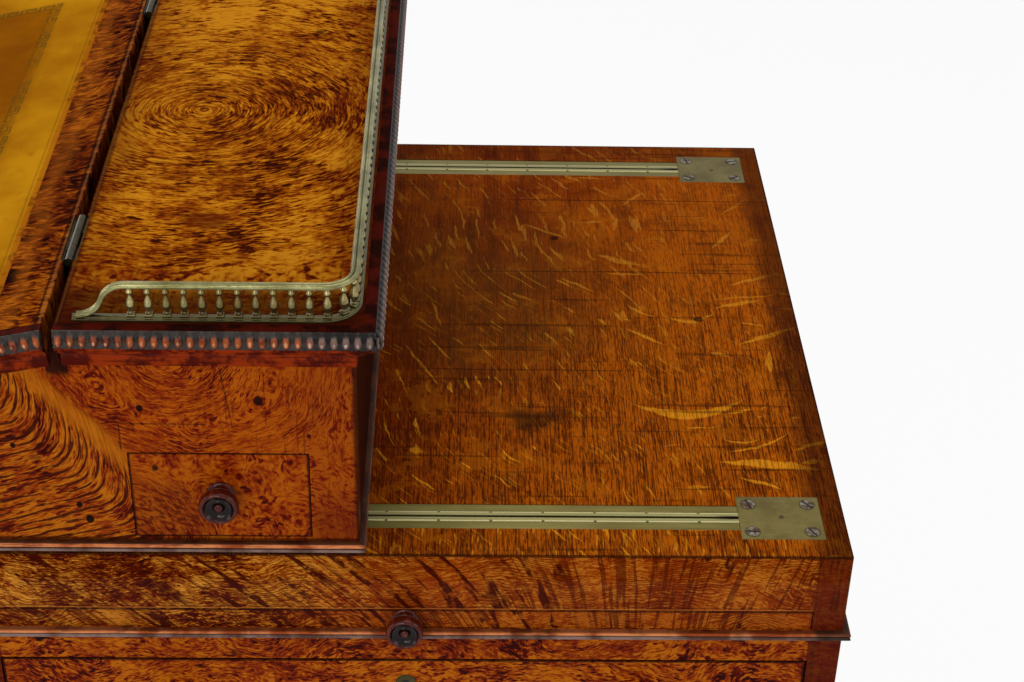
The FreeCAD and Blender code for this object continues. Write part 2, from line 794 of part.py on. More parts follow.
keep(box_side("side_right", 1), "box_side_right")
keep(box_side("side_left", -1), "box_side_left")
inside_x = (S.box_side - box_right, box_right - S.box_side)
inside_y = (box_front + S.box_side, box_back - S.box_side)
keep(board("box_bottom_board", inside_x, inside_y, (box_floor, box_inner_floor)), "box_bottom")
keep(board("box_back_board", inside_x, (inside_y[1], box_back), (box_floor, flat_under)), "box_back")


def front_board():
    """The low front of the box; its top edge follows the lid, and it holds the lid's lock."""
    owner = body("front_board")
    sketch = sketch_on(owner, "YZ_Plane", "front_board_outline")
    below = S.lid_thickness + S.lid_clearance
    outline(sketch, [
        (box_front, box_floor), (inside_y[0], box_floor),
        (inside_y[0], lid_surface(inside_y[0], below)), (box_front, lid_surface(box_front, below))])
    pad(owner, sketch, inside_x[1] - inside_x[0], both_ways=True)
    return owner


lid_key_z = lid_surface(box_front, S.lid_thickness) - S.key_drop - S.lock_height / 4


def lid_lock_cuts():
    gap = S.lock_gap
    mortise = board("lid_mortise", (-S.lock_width / 2 - gap, S.lock_width / 2 + gap),
                    (inside_y[0] - S.lock_depth - gap, inside_y[0]),
                    (lid_key_z - S.lock_height / 2 - gap, lid_key_z + S.lock_height / 2 + gap))
    keyhole = rod("lid_keyhole", (0, inside_y[0], lid_key_z), S.keyhole_radius, S.box_side,
                  X_AXIS, 90)
    return [mortise, keyhole]


keep(cut("front_cut", front_board(), lid_lock_cuts()), "box_front")
lid_case = board("lid_lock_case", (-S.lock_width / 2, S.lock_width / 2),
                 (inside_y[0] - S.lock_depth, inside_y[0]),
                 (lid_key_z - S.lock_height / 2, lid_key_z + S.lock_height / 2))
keep(lid_case, "lid_lock")

box_reeds = reed_ring("box_reeds", box_right, (box_back - box_front) / 2, S.box_reed_out,
                      S.box_reed_height, (box_back + box_front) / 2, box_floor)
keep(box_reeds, "box_base_moulding")

# runners: brass tees that hang from the bottom of the box into the tracks
runner_front = track_start + S.stop_gap
runner_length = plate_front - track_start - S.box_travel - 2 * S.stop_gap


def runner(name, side):
    owner = body(name + "_body")
    sketch = sketch_on(owner, "XZ_Plane", name + "_section")
    neck = S.slot_width / 2 - S.run_gap
    head = S.slot_room / 2 - S.run_gap
    low = S.track_floor - S.track_depth + 2 * S.run_gap
    high = -S.track_lip - S.run_gap
    outline(sketch, [
        (-head, low), (head, low), (head, high), (neck, high), (neck, S.box_lift),
        (-neck, S.box_lift), (-neck, high), (-head, high)])
    pad(owner, sketch, runner_length, reverse=True)
    return place(owner, track_middle(side), runner_front, top)


runners = [runner(f"runner_{word}", side) for word, side in sides]
keep(grouped("runner_set", runners), "box_runners")


# ---------------------------------------------------------------- writing box: flat top
def hinge_seat(name, x, y, down=S.leaf_height):
    """The shallow recess of one hinge leaf in the edge of a board."""
    return board(name, (x - S.hinge_width / 2, x + S.hinge_width / 2), y,
                 (flat_top - S.hinge_drop - down, flat_top))


hinge_places = (S.hinge_place, -S.hinge_place)
board_half = box_right + S.board_out
flat_blank = board("flat_blank", (-board_half, board_half), (flat_edge, box_back + S.board_out),
                   (flat_under, flat_top))
flat_seats = [
    hinge_seat(f"flat_seat_{number}", x, (flat_edge, flat_edge + S.leaf_thickness))
    for number, x in enumerate(hinge_places)
]
keep(cut("flat_cut", flat_blank, flat_seats), "box_flat_top")


def cornice_section(sketch, foot_gap):
    """A cove under a full bead, seen at the start of its run; u is out, v is up."""
    edge = box_right + S.board_out
    fillet = box_right + 1.5
    crown = box_right + S.cornice_out
    nose = crown - S.bead_crown
    low = -S.cornice_height
    bead_low = -S.bead_height
    outline(sketch, [
        (edge, 0), (edge, -S.lid_thickness), (box_right + foot_gap, -S.lid_thickness),
        (box_right + foot_gap, low), (fillet, low),
        (fillet, low + 1.5, S.cornice_out, 1), (nose - 1, bead_low - 2),
        (nose - 1, bead_low), (nose, bead_low, bead_swell, -1), (nose, 0)])


def cornice(name, depth, foot_gap):
    """The moulding round three edges of a top; the open side is at local y = 0."""
    owner = body(name + "_body")
    path = sketch_on(owner, "XY_Plane", name + "_path")
    outline(path, [(box_right, 0), (box_right, depth), (-box_right, depth), (-box_right, 0)],
            closed=False)
    profile = sketch_on(owner, "XZ_Plane", name + "_section")
    cornice_section(profile, foot_gap)
    swept(owner, profile, path, mitred=True)
    return owner


flat_cornice = cornice("flat_cornice", S.flat_depth, 0)
keep(place(flat_cornice, 0, flat_edge, flat_top), "flat_top_cornice")

# ---------------------------------------------------------------- lid
lid_run = (lid_edge - box_front + lid_foot_out) / cosine(S.slope_degrees)
lid_front_y = lid_edge - (lid_run + S.board_out) * cosine(S.slope_degrees)
leather_half = board_half - S.leather_margin


def lid_slab(name, y_front, y_back, upper, lower):
    """A slab in the slope of the lid between two depths, plumb at its hinge end."""
    owner = body(name)
    sketch = sketch_on(owner, "YZ_Plane", name + "_outline")
    lean = sine(S.slope_degrees)
    outline(sketch, [
        (y_back, lid_surface(y_back, upper)), (y_back, lid_surface(y_back, lower)),
        (y_front + lower * lean, lid_surface(y_front + lower * lean, lower)),
        (y_front + upper * lean, lid_surface(y_front + upper * lean, upper))])
    return owner, sketch


def leather_slab(name, upper):
    owner, sketch = lid_slab(name, lid_front_y + S.leather_margin, lid_edge - S.leather_back,
                             upper, S.leather_thickness)
    pad(owner, sketch, 2 * leather_half, both_ways=True)
    return owner


lid_owner, lid_sketch = lid_slab("lid_blank", lid_front_y, lid_edge, Size(0), S.lid_thickness)
pad(lid_owner, lid_sketch, 2 * board_half, both_ways=True)
lid_seats = [
    hinge_seat(f"lid_seat_{number}", x, (lid_edge - S.leaf_thickness, lid_edge))
    for number, x in enumerate(hinge_places)
]
keeper_y = inside_y[0] - S.lock_depth / 2
keeper_half = S.lock_width / 2


def keeper_plate(name, thickness):
    """A striking plate let in flush with the lid's under side."""
    owner, sketch = lid_slab(name, keeper_y - S.lock_depth, keeper_y + S.lock_depth,
                             S.lid_thickness - thickness, S.lid_thickness)
    pad(owner, sketch, 2 * keeper_half, both_ways=True)
    return owner


lid_tools = [leather_slab("leather_recess", Size(0)), keeper_plate("keeper_recess", S.leaf_thickness)]
keep(cut("lid_cut", lid_owner, lid_tools + lid_seats), "lid_panel")
keep(leather_slab("leather_sheet", Size("0.2")), "lid_leather")
keep(keeper_plate("keeper_sheet", S.leaf_thickness - 0.1), "lid_keeper")

lid_extra = S.cornice_height
lid_moulding = cornice("lid_moulding", -(lid_run + lid_extra), S.lid_clearance + 0.1)
place(lid_moulding, 0, lid_edge + lid_extra * cosine(S.slope_degrees),
      flat_top + lid_extra * sine(S.slope_degrees), X_AXIS, S.slope_degrees)
lid_trim = board("lid_trim", (-right * 2, right * 2), (lid_edge, lid_edge + 3 * lid_extra),
                 (flat_top - 3 * lid_extra, flat_top + 3 * lid_extra))
keep(cut("lid_cornice_cut", lid_moulding, lid_trim), "lid_cornice")


# ---------------------------------------------------------------- hinges
def hinge_leaf(name, x, edge, side, spans):
    """A leaf in its seat with the knuckles of its side of the pin."""
    reach = (edge, edge + S.leaf_thickness) if side > 0 else (edge - S.leaf_thickness, edge)
    plate = board(name + "_plate", (x - S.hinge_width / 2, x + S.hinge_width / 2), reach,
                  (hinge_z - S.leaf_height, hinge_z))
    pieces = [plate]
    for number, (start, end) in enumerate(spans):
        barrel = rod_along_x(f"{name}_barrel_{number}", (x + start, hinge_y, hinge_z),
                             S.knuckle_radius, end - start)
        tongue_y = (hinge_y, edge + 0.2) if side > 0 else (edge - 0.2, hinge_y)
        tongue = board(f"{name}_tongue_{number}", (x + start, x + end), tongue_y,
                       (hinge_z - S.leaf_thickness, hinge_z))
        pieces += [barrel, tongue]
    return pieces


third = S.hinge_width / 3
half_hinge = S.hinge_width / 2
fixed_spans = [(-half_hinge, -half_hinge + third), (half_hinge - third, half_hinge)]
moving_spans = [(-half_hinge + third + S.knuckle_gap, half_hinge - third - S.knuckle_gap)]
fixed_leaves = []
moving_leaves = []
for number, x in enumerate(hinge_places):
    # the pin is held fast in the outer knuckles and the middle one turns on it
    pin = rod_along_x(f"pin_{number}", (x - third, hinge_y, hinge_z), S.pin_radius, 2 * third)
    leaf = hinge_leaf(f"fixed_leaf_{number}", x, flat_edge, 1, fixed_spans)
    fixed_leaves.append(fused(f"fixed_hinge_{number}", leaf + [pin]))
    leaf = hinge_leaf(f"moving_leaf_{number}", x, lid_edge, -1, moving_spans)
    bore = rod_along_x(f"moving_bore_{number}", (x - S.hinge_width, hinge_y, hinge_z),
                       S.pin_radius + S.pin_gap, 2 * S.hinge_width)
    moving_leaves.append(cut(f"moving_hinge_{number}", fused(f"moving_whole_{number}", leaf), bore))
keep(grouped("fixed_set", fixed_leaves), "hinge_fixed_leaves")
keep(grouped("moving_set", moving_leaves), "hinge_moving_leaves")

# ---------------------------------------------------------------- gallery
gallery_x = box_right + S.cornice_out - S.gallery_inset
gallery_y = box_back + S.cornice_out - S.gallery_inset
tip_y = box_back - S.gallery_tip
rail_end_y = tip_y + S.scroll_length
rail_under = S.gallery_height - S.gallery_rail


def gallery_path(owner, name, y_end, z):
    """The plan of the gallery from its right front end round the back to its left one."""
    path = sketch_on(owner, "XY_Plane", name, z)
    bend = S.gallery_corner
    outline(path, [
        (gallery_x, y_end), (gallery_x, gallery_y - bend, bend, -1),
        (gallery_x - bend, gallery_y), (bend - gallery_x, gallery_y, bend, -1),
        (-gallery_x, gallery_y - bend), (-gallery_x, y_end)], closed=False)
    return path


def gallery_rail(name, y_end, low, section):
    """One rail of the gallery: a section carried round its plan."""
    owner = body(name)
    path = gallery_path(owner, name + "_path", y_end, low)
    profile = sketch_on(owner, "XZ_Plane", name + "_section", -y_end)
    outline(profile, section)
    swept(owner, profile, path)
    return place(owner, 0, 0, flat_top)


def gallery_scroll(name, side):
    """A scrolled end: an ogee of two equal arcs that leaves and arrives level."""
    owner = body(name)
    fall = rail_under
    reach = S.scroll_length
    bend = (reach * reach + fall * fall) / (4 * fall)
    half = S.gallery_rail / 2
    outer = bend + half
    inner = bend - half
    high = S.gallery_height - half
    # the inflection lies half way, where the normal leans by the turn of one arc
    middle_y = rail_end_y - reach / 2
    lean_y = half * reach / (2 * bend)
    lean_z = half * (1 - fall / (2 * bend))
    band = sketch_on(owner, "YZ_Plane", name + "_band")
    outline(band, [
        (rail_end_y, high + half, outer, -1),
        (middle_y - lean_y, high - fall / 2 + lean_z, inner, 1),
        (tip_y, 2 * half), (tip_y, 0, outer, -1),
        (middle_y + lean_y, high - fall / 2 - lean_z, inner, 1),
        (rail_end_y, high - half)])
    pad(owner, band, S.gallery_width, both_ways=True)
    return place(owner, side * gallery_x, 0, flat_top)


half_rail = S.gallery_width / 2
bottom_section = [
    (gallery_x - half_rail, 0), (gallery_x + half_rail, 0),
    (gallery_x + half_rail, S.gallery_foot * 0.5),
    (gallery_x + half_rail * 0.75, S.gallery_foot),
    (gallery_x - half_rail * 0.75, S.gallery_foot),
    (gallery_x - half_rail, S.gallery_foot * 0.5)]
top_section = [
    (gallery_x - half_rail, rail_under), (gallery_x + half_rail, rail_under),
    (gallery_x + half_rail, rail_under + S.gallery_rail * 0.6),
    (gallery_x + half_rail * 0.65, S.gallery_height),
    (gallery_x + half_rail * 0.25, S.gallery_height),
    (gallery_x, S.gallery_height - S.gallery_rail * 0.3),
    (gallery_x - half_rail * 0.25, S.gallery_height),
    (gallery_x - half_rail * 0.65, S.gallery_height),
    (gallery_x - half_rail, rail_under + S.gallery_rail * 0.6)]
rails = [
    gallery_rail("bottom_rail", tip_y, Size(0), bottom_section),
    gallery_rail("top_rail", rail_end_y, rail_under, top_section),
    gallery_scroll("scroll_right", 1), gallery_scroll("scroll_left", -1)]
keep(fused("rails", rails), "gallery_rails")


def taper(name, low, high, radii):
    """A four-sided piece between two levels, from one half width to another."""
    piece = doc.addObject("Part::Wedge", name)
    for prop, value in (("Xmin", -radii[0]), ("Xmax", radii[0]), ("Zmin", -radii[0]),
                        ("Zmax", radii[0]), ("X2min", -radii[1]), ("X2max", radii[1]),
                        ("Z2min", -radii[1]), ("Z2max", radii[1]), ("Ymin", low), ("Ymax", high)):
        piece.setExpression(prop, str(value))
    piece.Placement.Rotation = FreeCAD.Rotation(X_AXIS, 90)
    return piece


def baluster_master():
    """A vase baluster on a square foot, with four flats so that the long row stays light."""
    radius = S.baluster_radius
    height = rail_under - S.gallery_foot
    belly = height * 0.36
    foot = board("baluster_foot", (-radius, radius), (-radius, radius), (Size(0), radius))
    lower = taper("baluster_lower", radius, belly, (radius * 0.5, radius * 0.95))
    upper = taper("baluster_upper", belly, height, (radius * 0.95, radius * 0.45))
    return fused("baluster_master", [foot, lower, upper])


baluster = baluster_master()
balusters = []
side_first = rail_end_y + S.baluster_pitch / 4
side_run = gallery_y - S.gallery_corner - side_first
side_count = max(int(round(float(side_run) / float(S.baluster_pitch))), 1)
back_run = 2 * (gallery_x - S.gallery_corner)
back_count = max(int(round(float(back_run) / float(S.baluster_pitch))), 1)
foot_z = flat_top + S.gallery_foot
for word, side in sides:
    for number in range(side_count + 1):
        y = side_first + side_run * number / side_count
        balusters.append(copy_of(f"baluster_{word}_{number}", baluster, side * gallery_x, y, foot_z))
    bend = S.gallery_corner
    for number, angle in enumerate((22.5, 45, 67.5)):
        x = side * (gallery_x - bend + bend * cosine(angle))
        y = gallery_y - bend + bend * sine(angle)
        balusters.append(copy_of(f"baluster_{word}_corner_{number}", baluster, x, y, foot_z,
                                 Z_AXIS, side * angle))
for number in range(back_count + 1):
    x = S.gallery_corner - gallery_x + back_run * number / back_count
    balusters.append(copy_of(f"baluster_back_{number}", baluster, x, gallery_y, foot_z))
keep(grouped("baluster_set", balusters), "gallery_balusters")

# ---------------------------------------------------------------- inner fitting
fit_front = flat_edge + S.inner_setback
fit_y = (fit_front, inside_y[1])
shelf_low = top + S.shelf_height
shelf_high = shelf_low + S.inner_board
upper_low = shelf_high + S.inner_drawer_height + 2 * S.run_gap
upper_high = upper_low + S.inner_board
guide_front = (pen_y[0] - S.pen_gap - S.inner_board, pen_y[0] - S.pen_gap)
pen_house_left = box_right - S.pen_length - S.inner_setback
half_board = S.inner_board / 2
fitting = [
    board("lower_shelf", inside_x, fit_y, (shelf_low, shelf_high)),
    board("upper_shelf", inside_x, fit_y, (upper_low, upper_high)),
    board("drawer_divider", (-half_board, half_board), fit_y, (shelf_high, upper_low)),
    board("pen_guide_front", (pen_house_left, inside_x[1]), guide_front,
          (box_inner_floor, shelf_low)),
    board("pen_guide_back", (pen_house_left, inside_x[1]),
          (pen_y[1] + S.pen_gap, inside_y[1]), (box_inner_floor, shelf_low)),
    board("pen_house_end", (pen_house_left - S.inner_board, pen_house_left), fit_y,
          (box_inner_floor, shelf_low)),
]
keep(fused("fitting", fitting), "inner_fitting")

# ---------------------------------------------------------------- pen drawer
pen_front_x = (box_right - S.box_side, box_right)
pen_floor = box_inner_floor + S.run_gap
pen_middle = (pen_y[0] + pen_y[1]) / 2
pen_knob_z = (pen_z[0] + pen_z[1]) / 2 + 2
pen_spot = (box_right, pen_middle, pen_knob_z)
keep(board("pen_front", pen_front_x, pen_y, pen_z), "pen_drawer_front")
pen_box_x = (box_right - S.pen_length, pen_front_x[0])
pen_box_z = (pen_floor, pen_z[1] - S.side_drop)
pen_shell = board("pen_shell", pen_box_x, pen_y, pen_box_z)
pen_room = board("pen_room", (pen_box_x[0] + S.pen_board, pen_box_x[1]),
                 (pen_y[0] + S.pen_board, pen_y[1] - S.pen_board),
                 (pen_floor + S.pen_board, pen_box_z[1]))
keep(cut("pen_box_cut", pen_shell, pen_room), "pen_drawer_box")
keep(knob_at("pen_knob_copy", knob_small, *pen_spot, "+X"), "pen_drawer_knob")


# ---------------------------------------------------------------- inner drawers
def inner_drawer(word, side):
    """A small drawer under the flat top, which opens into the well."""
    name = f"inner_drawer_{word}"
    gap = S.run_gap
    x = sorted_pair(side * (inside_x[1] - gap), side * (half_board + gap), side)
    y = (fit_front, inside_y[1] - S.inner_setback)
    z = (shelf_high + gap, upper_low - gap)
    shell = board(name + "_shell", x, y, z)
    wood = S.inner_drawer_board
    room = board(name + "_room", (x[0] + wood, x[1] - wood), (y[0] + 2 * wood, y[1] - wood),
                 (z[0] + wood, z[1]))
    spot = ((x[0] + x[1]) / 2, fit_front, (z[0] + z[1]) / 2)
    keep(cut(name + "_cut", shell, room), name)
    keep(knob_at(name + "_knob_copy", knob_tiny, *spot, "-Y"), name + "_knob")


for word, side in sides:
    inner_drawer(word, side)

# ---------------------------------------------------------------- check and write
doc.recompute()
for thing in doc.Objects:
    if "Invalid" in thing.State or "Error" in thing.State:
        raise RuntimeError(f"{thing.Name} ({thing.Label}) did not build: {thing.State}")
os.makedirs("parts", exist_ok=True)
for node in nodes:
    shape = Part.getShape(node)
    if shape.isNull() or not shape.isValid():
        raise RuntimeError(f"{node.Label} has no sound shape")
    shape.exportStep(f"parts/{node.Label}.step")
print(f"{len(nodes)} sub-parts written")
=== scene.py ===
"""Looks of the davenport desk.

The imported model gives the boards, the drawers and the sliding mechanism. This script adds the
turned, moulded and tooled pieces, each a surface worked out from a formula, and gives every piece
its finish. Shapes are in millimetres in the desk's own frame, and become metres when they go into a
mesh. Finishes measure in metres, and give a colour as red, green and blue from 0 to 255.
"""
import math

import bpy
import numpy as np
from mathutils import Matrix, Vector


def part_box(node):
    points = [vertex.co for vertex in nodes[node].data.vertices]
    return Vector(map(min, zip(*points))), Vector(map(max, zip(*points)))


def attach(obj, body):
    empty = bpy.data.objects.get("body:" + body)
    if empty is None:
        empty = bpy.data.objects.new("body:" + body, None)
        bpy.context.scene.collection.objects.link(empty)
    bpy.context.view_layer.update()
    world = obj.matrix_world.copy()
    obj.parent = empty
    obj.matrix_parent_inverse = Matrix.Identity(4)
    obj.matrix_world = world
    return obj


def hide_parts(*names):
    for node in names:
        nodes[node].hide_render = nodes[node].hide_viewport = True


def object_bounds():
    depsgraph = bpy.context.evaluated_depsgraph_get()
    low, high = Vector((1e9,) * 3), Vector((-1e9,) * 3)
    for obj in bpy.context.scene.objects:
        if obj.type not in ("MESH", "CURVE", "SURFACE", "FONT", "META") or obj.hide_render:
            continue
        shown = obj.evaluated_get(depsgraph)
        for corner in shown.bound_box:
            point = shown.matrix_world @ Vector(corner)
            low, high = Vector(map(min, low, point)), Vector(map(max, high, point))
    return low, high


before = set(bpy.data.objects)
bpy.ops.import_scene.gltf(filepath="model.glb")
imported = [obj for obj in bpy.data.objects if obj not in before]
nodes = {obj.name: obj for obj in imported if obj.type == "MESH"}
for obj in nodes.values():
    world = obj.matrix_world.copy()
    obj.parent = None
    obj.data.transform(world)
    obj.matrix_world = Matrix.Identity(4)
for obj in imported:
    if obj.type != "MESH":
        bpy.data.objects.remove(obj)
packed_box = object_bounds()
MM = 0.001
TURN = 2 * math.pi

# ------------------------------------------------------------------ sizes, in millimetres
BASE_HALF = 256.5
BASE_FRONT, BASE_BACK = -117.88, 422.12
BASE_MIDDLE = (BASE_FRONT + BASE_BACK) / 2
TOP = 680
BOX_HALF = 252.8
BOX_FRONT, BOX_BACK = -407.18, 125.42
FLAT_TOP = 846
FLAT_EDGE, LID_EDGE = -38.08, -44.58
SLOPE = math.radians(12)
SLOPE_SIN, SLOPE_COS = math.sin(SLOPE), math.cos(SLOPE)
GALLERY_HALF, GALLERY_BACK, GALLERY_BEND = 253.8, 126.42, 17
GALLERY_TIP, GALLERY_LEVEL = -28.4, 1.6
TRACK_X = 219.4
PLATE_Y = 382.26
SCREW_X, SCREW_Y = 13.25, 18.35
DRAWERS = range(1, 5)
DRAWER_KEYHOLES = (576, 466, 348, 222)
LID_KEYHOLE = 719
KNOB_APART = 145
LEATHER_HALF = 224.6
LEATHER_TOP, LEATHER_LONG = 31.25, 318.1
LEATHER_FOOT = LEATHER_TOP + LEATHER_LONG + 0.05


# ------------------------------------------------------------------ surfaces
class Surface:
    """Collects the grids of one piece.

    A grid is points[row, column]. Its outside is where columns crossed with rows points. Each row
    closes on itself, and the first and last rows get a fan of triangles unless the grid closes
    on itself too. A mark is a number that the finish can read at each point.
    """

    def __init__(self):
        self.points, self.faces, self.marks = [], [], []

    def take(self, points, mark):
        flat = np.asarray(points, float).reshape(-1, 3)
        first = sum(map(len, self.points))
        self.points.append(flat)
        self.marks.append(np.broadcast_to(np.asarray(mark, float).reshape(-1), (len(flat),)))
        return first

    def grid(self, points, closed=False, mark=0.0):
        rows, columns = points.shape[:2]
        index = self.take(points, mark) + np.arange(rows * columns).reshape(rows, columns)
        index = np.concatenate([index, index[:, :1]], 1)
        ends = () if closed else ((points[0], index[0][::-1]), (points[-1], index[-1]))
        if closed:
            index = np.concatenate([index, index[:1]], 0)
        quads = np.stack([index[:-1, :-1], index[:-1, 1:], index[1:, 1:], index[1:, :-1]], -1)
        self.faces += quads.reshape(-1, 4).tolist()
        for row, edge in ends:
            centre = np.full(columns, self.take(row.mean(0), np.mean(mark)))
            self.faces += np.stack([centre, edge[:-1], edge[1:]], -1).tolist()
        return self

    def piece(self, name, finish, body, slot, hides=(), sharp=38):
        """The mesh of all grids, smooth but for edges sharper than an angle in degrees."""
        mesh = bpy.data.meshes.new(name)
        mesh.from_pydata((np.concatenate(self.points) * MM).tolist(), [], self.faces)
        relief = mesh.attributes.new("relief", "FLOAT", "POINT")
        relief.data.foreach_set("value", np.concatenate(self.marks).astype(np.float32))
        mesh.materials.append(finish)
        mesh.shade_smooth()
        mesh.set_sharp_from_angle(angle=math.radians(sharp))
        thing = bpy.data.objects.new(name, mesh)
        bpy.context.scene.collection.objects.link(thing)
        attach(thing, body)
        if hides:
            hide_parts(*hides)
        return thing


def smooth_line(points, steps):
    """Points along a smooth curve through some places (Catmull-Rom).

    Between b and c, with a before and d after, the point at t is half of
    2b + (c - a) t + (2a - 5b + 4c - d) t^2 + (3b - a - 3c + d) t^3.
    """
    places = np.asarray(points, float)
    padded = np.concatenate([[2 * places[0] - places[1]], places, [2 * places[-1] - places[-2]]])
    t = (np.arange(steps) / steps)[None, :, None]
    a, b, c, d = (part[:, None] for part in (padded[:-3], padded[1:-2], padded[2:-1], padded[3:]))
    curve = 0.5 * (2 * b + (c - a) * t + (2 * a - 5 * b + 4 * c - d) * t ** 2
                   + (3 * b - a - 3 * c + d) * t ** 3)
    return np.concatenate([curve.reshape(-1, places.shape[1]), places[-1:]])


def turning(section, around):
    """A section of (radius, height) turned round the upright axis: (r cos a, r sin a, h)."""
    angle = np.arange(around) * TURN / around
    radius, height = np.asarray(section, float).T[..., None]
    return np.stack([radius * np.cos(angle), radius * np.sin(angle), height + 0 * angle], -1)


TOWARDS = {"+X": ((0, 0, 1), (0, 1, 0), (-1, 0, 0)), "-X": ((0, 0, -1), (0, 1, 0), (1, 0, 0)),
           "-Y": ((1, 0, 0), (0, 0, -1), (0, 1, 0)), "+Z": ((1, 0, 0), (0, 1, 0), (0, 0, 1))}


def aimed(points, towards, place):
    """Points of a piece that stands up, turned so that it points another way, at a place."""
    return points @ np.array(TOWARDS[towards], float).T + np.asarray(place, float)


def signed_area(section):
    """Half the sum of the cross products of neighbouring corners."""
    u, v = section.T
    return 0.5 * np.sum(u * np.roll(v, -1) - v * np.roll(u, -1))


def run(surface, section, origin, along, outward, up, low, high, stations=(), relief=None):
    """A closed section (u out, v up) carried along a straight run, in one grid.

    The point of column j at station t is origin + T along + u outward + v up, where T is t kept
    between low[j] and high[j]; these limits follow u at a mitre and v at a plumb end. A relief
    adds relief(t, j) to u.
    """
    along, outward, up, origin = (np.asarray(v, float) for v in (along, outward, up, origin))
    low, high = (np.broadcast_to(end, (len(section),)).astype(float) for end in (low, high))
    order = np.arange(len(section))
    if signed_area(section) * np.dot(np.cross(outward, along), up) > 0:
        order = order[::-1]
    t = np.concatenate([[low.min() - 1], stations, [high.max() + 1]])[:, None]
    u, v = section.T[:, None]
    swell, mark = relief(t, u, v) if relief else (0, 0)
    u, v = u + swell + 0 * t, v + 0 * t
    place = np.clip(t, low, high)
    points = origin + place[..., None] * along + u[..., None] * outward + v[..., None] * up
    surface.grid(points[:, order], mark=np.broadcast_to(mark, u.shape)[:, order])


def box_ring(section, half_x, front, back):
    """A section mitred round a rectangle: four runs whose ends follow u."""
    surface = Surface()
    u, width, depth = section[:, 0], 2 * half_x, back - front
    for corner, along, outward, length in (
            ((half_x, front, 0), (0, 1, 0), (1, 0, 0), depth),
            ((half_x, back, 0), (-1, 0, 0), (0, 1, 0), width),
            ((-half_x, back, 0), (0, -1, 0), (-1, 0, 0), depth),
            ((-half_x, front, 0), (1, 0, 0), (0, -1, 0), width)):
        run(surface, section, corner, along, outward, (0, 0, 1), -u, length + u)
    return surface


def half_round(low, high, depth, out, steps):
    """Half an ellipse from low to high that swells out by a depth: u = out + depth sin a."""
    angle = np.linspace(0, math.pi, steps)
    middle, half = (low + high) / 2, (high - low) / 2
    return np.stack([out + depth * np.sin(angle), middle - half * np.cos(angle)], -1)


def tube(section, path, sideways):
    """A section (across, up) carried along a path: p + a sideways + b (sideways x tangent).

    The tangent is the difference of neighbouring places.
    """
    tangent = np.gradient(path, axis=0)
    tangent /= np.linalg.norm(tangent, axis=1, keepdims=True)
    rise = np.cross(sideways, tangent)
    rise /= np.linalg.norm(rise, axis=1, keepdims=True)
    a, b = section.T[:, None, :, None]
    return (path[:, None] + a * sideways[:, None] + b * rise[:, None])[:, ::-1]


# ------------------------------------------------------------------ finishes: how they are written
def tint(red, green, blue):
    """A colour as it looks on a screen, 0 to 255, as light: c / 12.92 up to 0.04045, above it
    ((c + 0.055) / 1.055)^2.4."""
    shades = np.array([red, green, blue]) / 255
    light = np.where(shades <= 0.04045, shades / 12.92, ((shades + 0.055) / 1.055) ** 2.4)
    return (*light.tolist(), 1.0)


def binary(operation, swapped=False):
    """An operator of two values, which adds a Math node."""
    return lambda one, other: one.math(operation, *((other, one) if swapped else (one, other)))


def unary(operation):
    """An operator of one value."""
    return lambda one: one.math(operation, one)


class Tone:
    """A value of a finish. Arithmetic on it adds Math nodes."""

    def __init__(self, owner, socket):
        self.owner, self.socket = owner, socket

    def math(self, operation, *values):
        return self.owner.node("ShaderNodeMath", {"operation": operation}, dict(enumerate(values)))

    __add__, __radd__ = binary("ADD"), binary("ADD", True)
    __sub__, __rsub__ = binary("SUBTRACT"), binary("SUBTRACT", True)
    __mul__, __rmul__ = binary("MULTIPLY"), binary("MULTIPLY", True)
    __truediv__, __pow__ = binary("DIVIDE"), binary("POWER")
    least, most = binary("MINIMUM"), binary("MAXIMUM")
    __abs__, sine, fraction, root = map(unary, ("ABSOLUTE", "SINE", "FRACT", "SQRT"))

    def step(self, start, end):
        """0 up to start, 1 from end on, and 3t^2 - 2t^3 between them; start may be the larger."""
        low, high = (0.0, 1.0) if start < end else (1.0, 0.0)
        return self.owner.node("ShaderNodeMapRange", {"interpolation_type": "SMOOTHSTEP"},
                               {0: self, 1: min(start, end), 2: max(start, end), 3: low, 4: high})

    def between(self, start, end, soft):
        """1 between two values, with soft borders."""
        return self.step(start - soft, start + soft) * self.step(end + soft, end - soft)

    def near(self, value, line=0.00075, soft=0.00025):
        """1 on a thin line where this is a value, with soft borders."""
        return abs(self - value).step(line + soft, line - soft)


def distance(*gaps):
    """The root of the sum of the squares."""
    total = gaps[0] ** 2
    for gap in gaps[1:]:
        total = total + gap ** 2
    return total.root()


class Nodes:
    """A tree of nodes, at first empty."""

    def __init__(self, tree):
        self.tree = tree
        tree.nodes.clear()

    def node(self, kind, settings=None, values=None, output=0):
        """Adds a node: its settings first, then the values or links of its sockets by name or
        number. Returns one output as a Tone, or the node itself for output=None."""
        node = self.tree.nodes.new(kind)
        for key, value in (settings or {}).items():
            if key == "stops":
                for _ in value[2:]:
                    node.color_ramp.elements.new(0.5)
                for element, (place, colour) in zip(node.color_ramp.elements, value):
                    element.position, element.color = place, colour
            else:
                setattr(node, key, value)
        for key, value in (values or {}).items():
            if isinstance(value, Tone):
                self.tree.links.new(value.socket, node.inputs[key])
            else:
                node.inputs[key].default_value = value
        return node if output is None else Tone(self, node.outputs[output])

    def rays(self, *kinds):
        """1 on the rays of any of the kinds."""
        paths = self.node("ShaderNodeLightPath", output=None).outputs
        first, *others = (Tone(self, paths[f"Is {kind} Ray"]) for kind in kinds)
        for other in others:
            first = first.most(other)
        return first


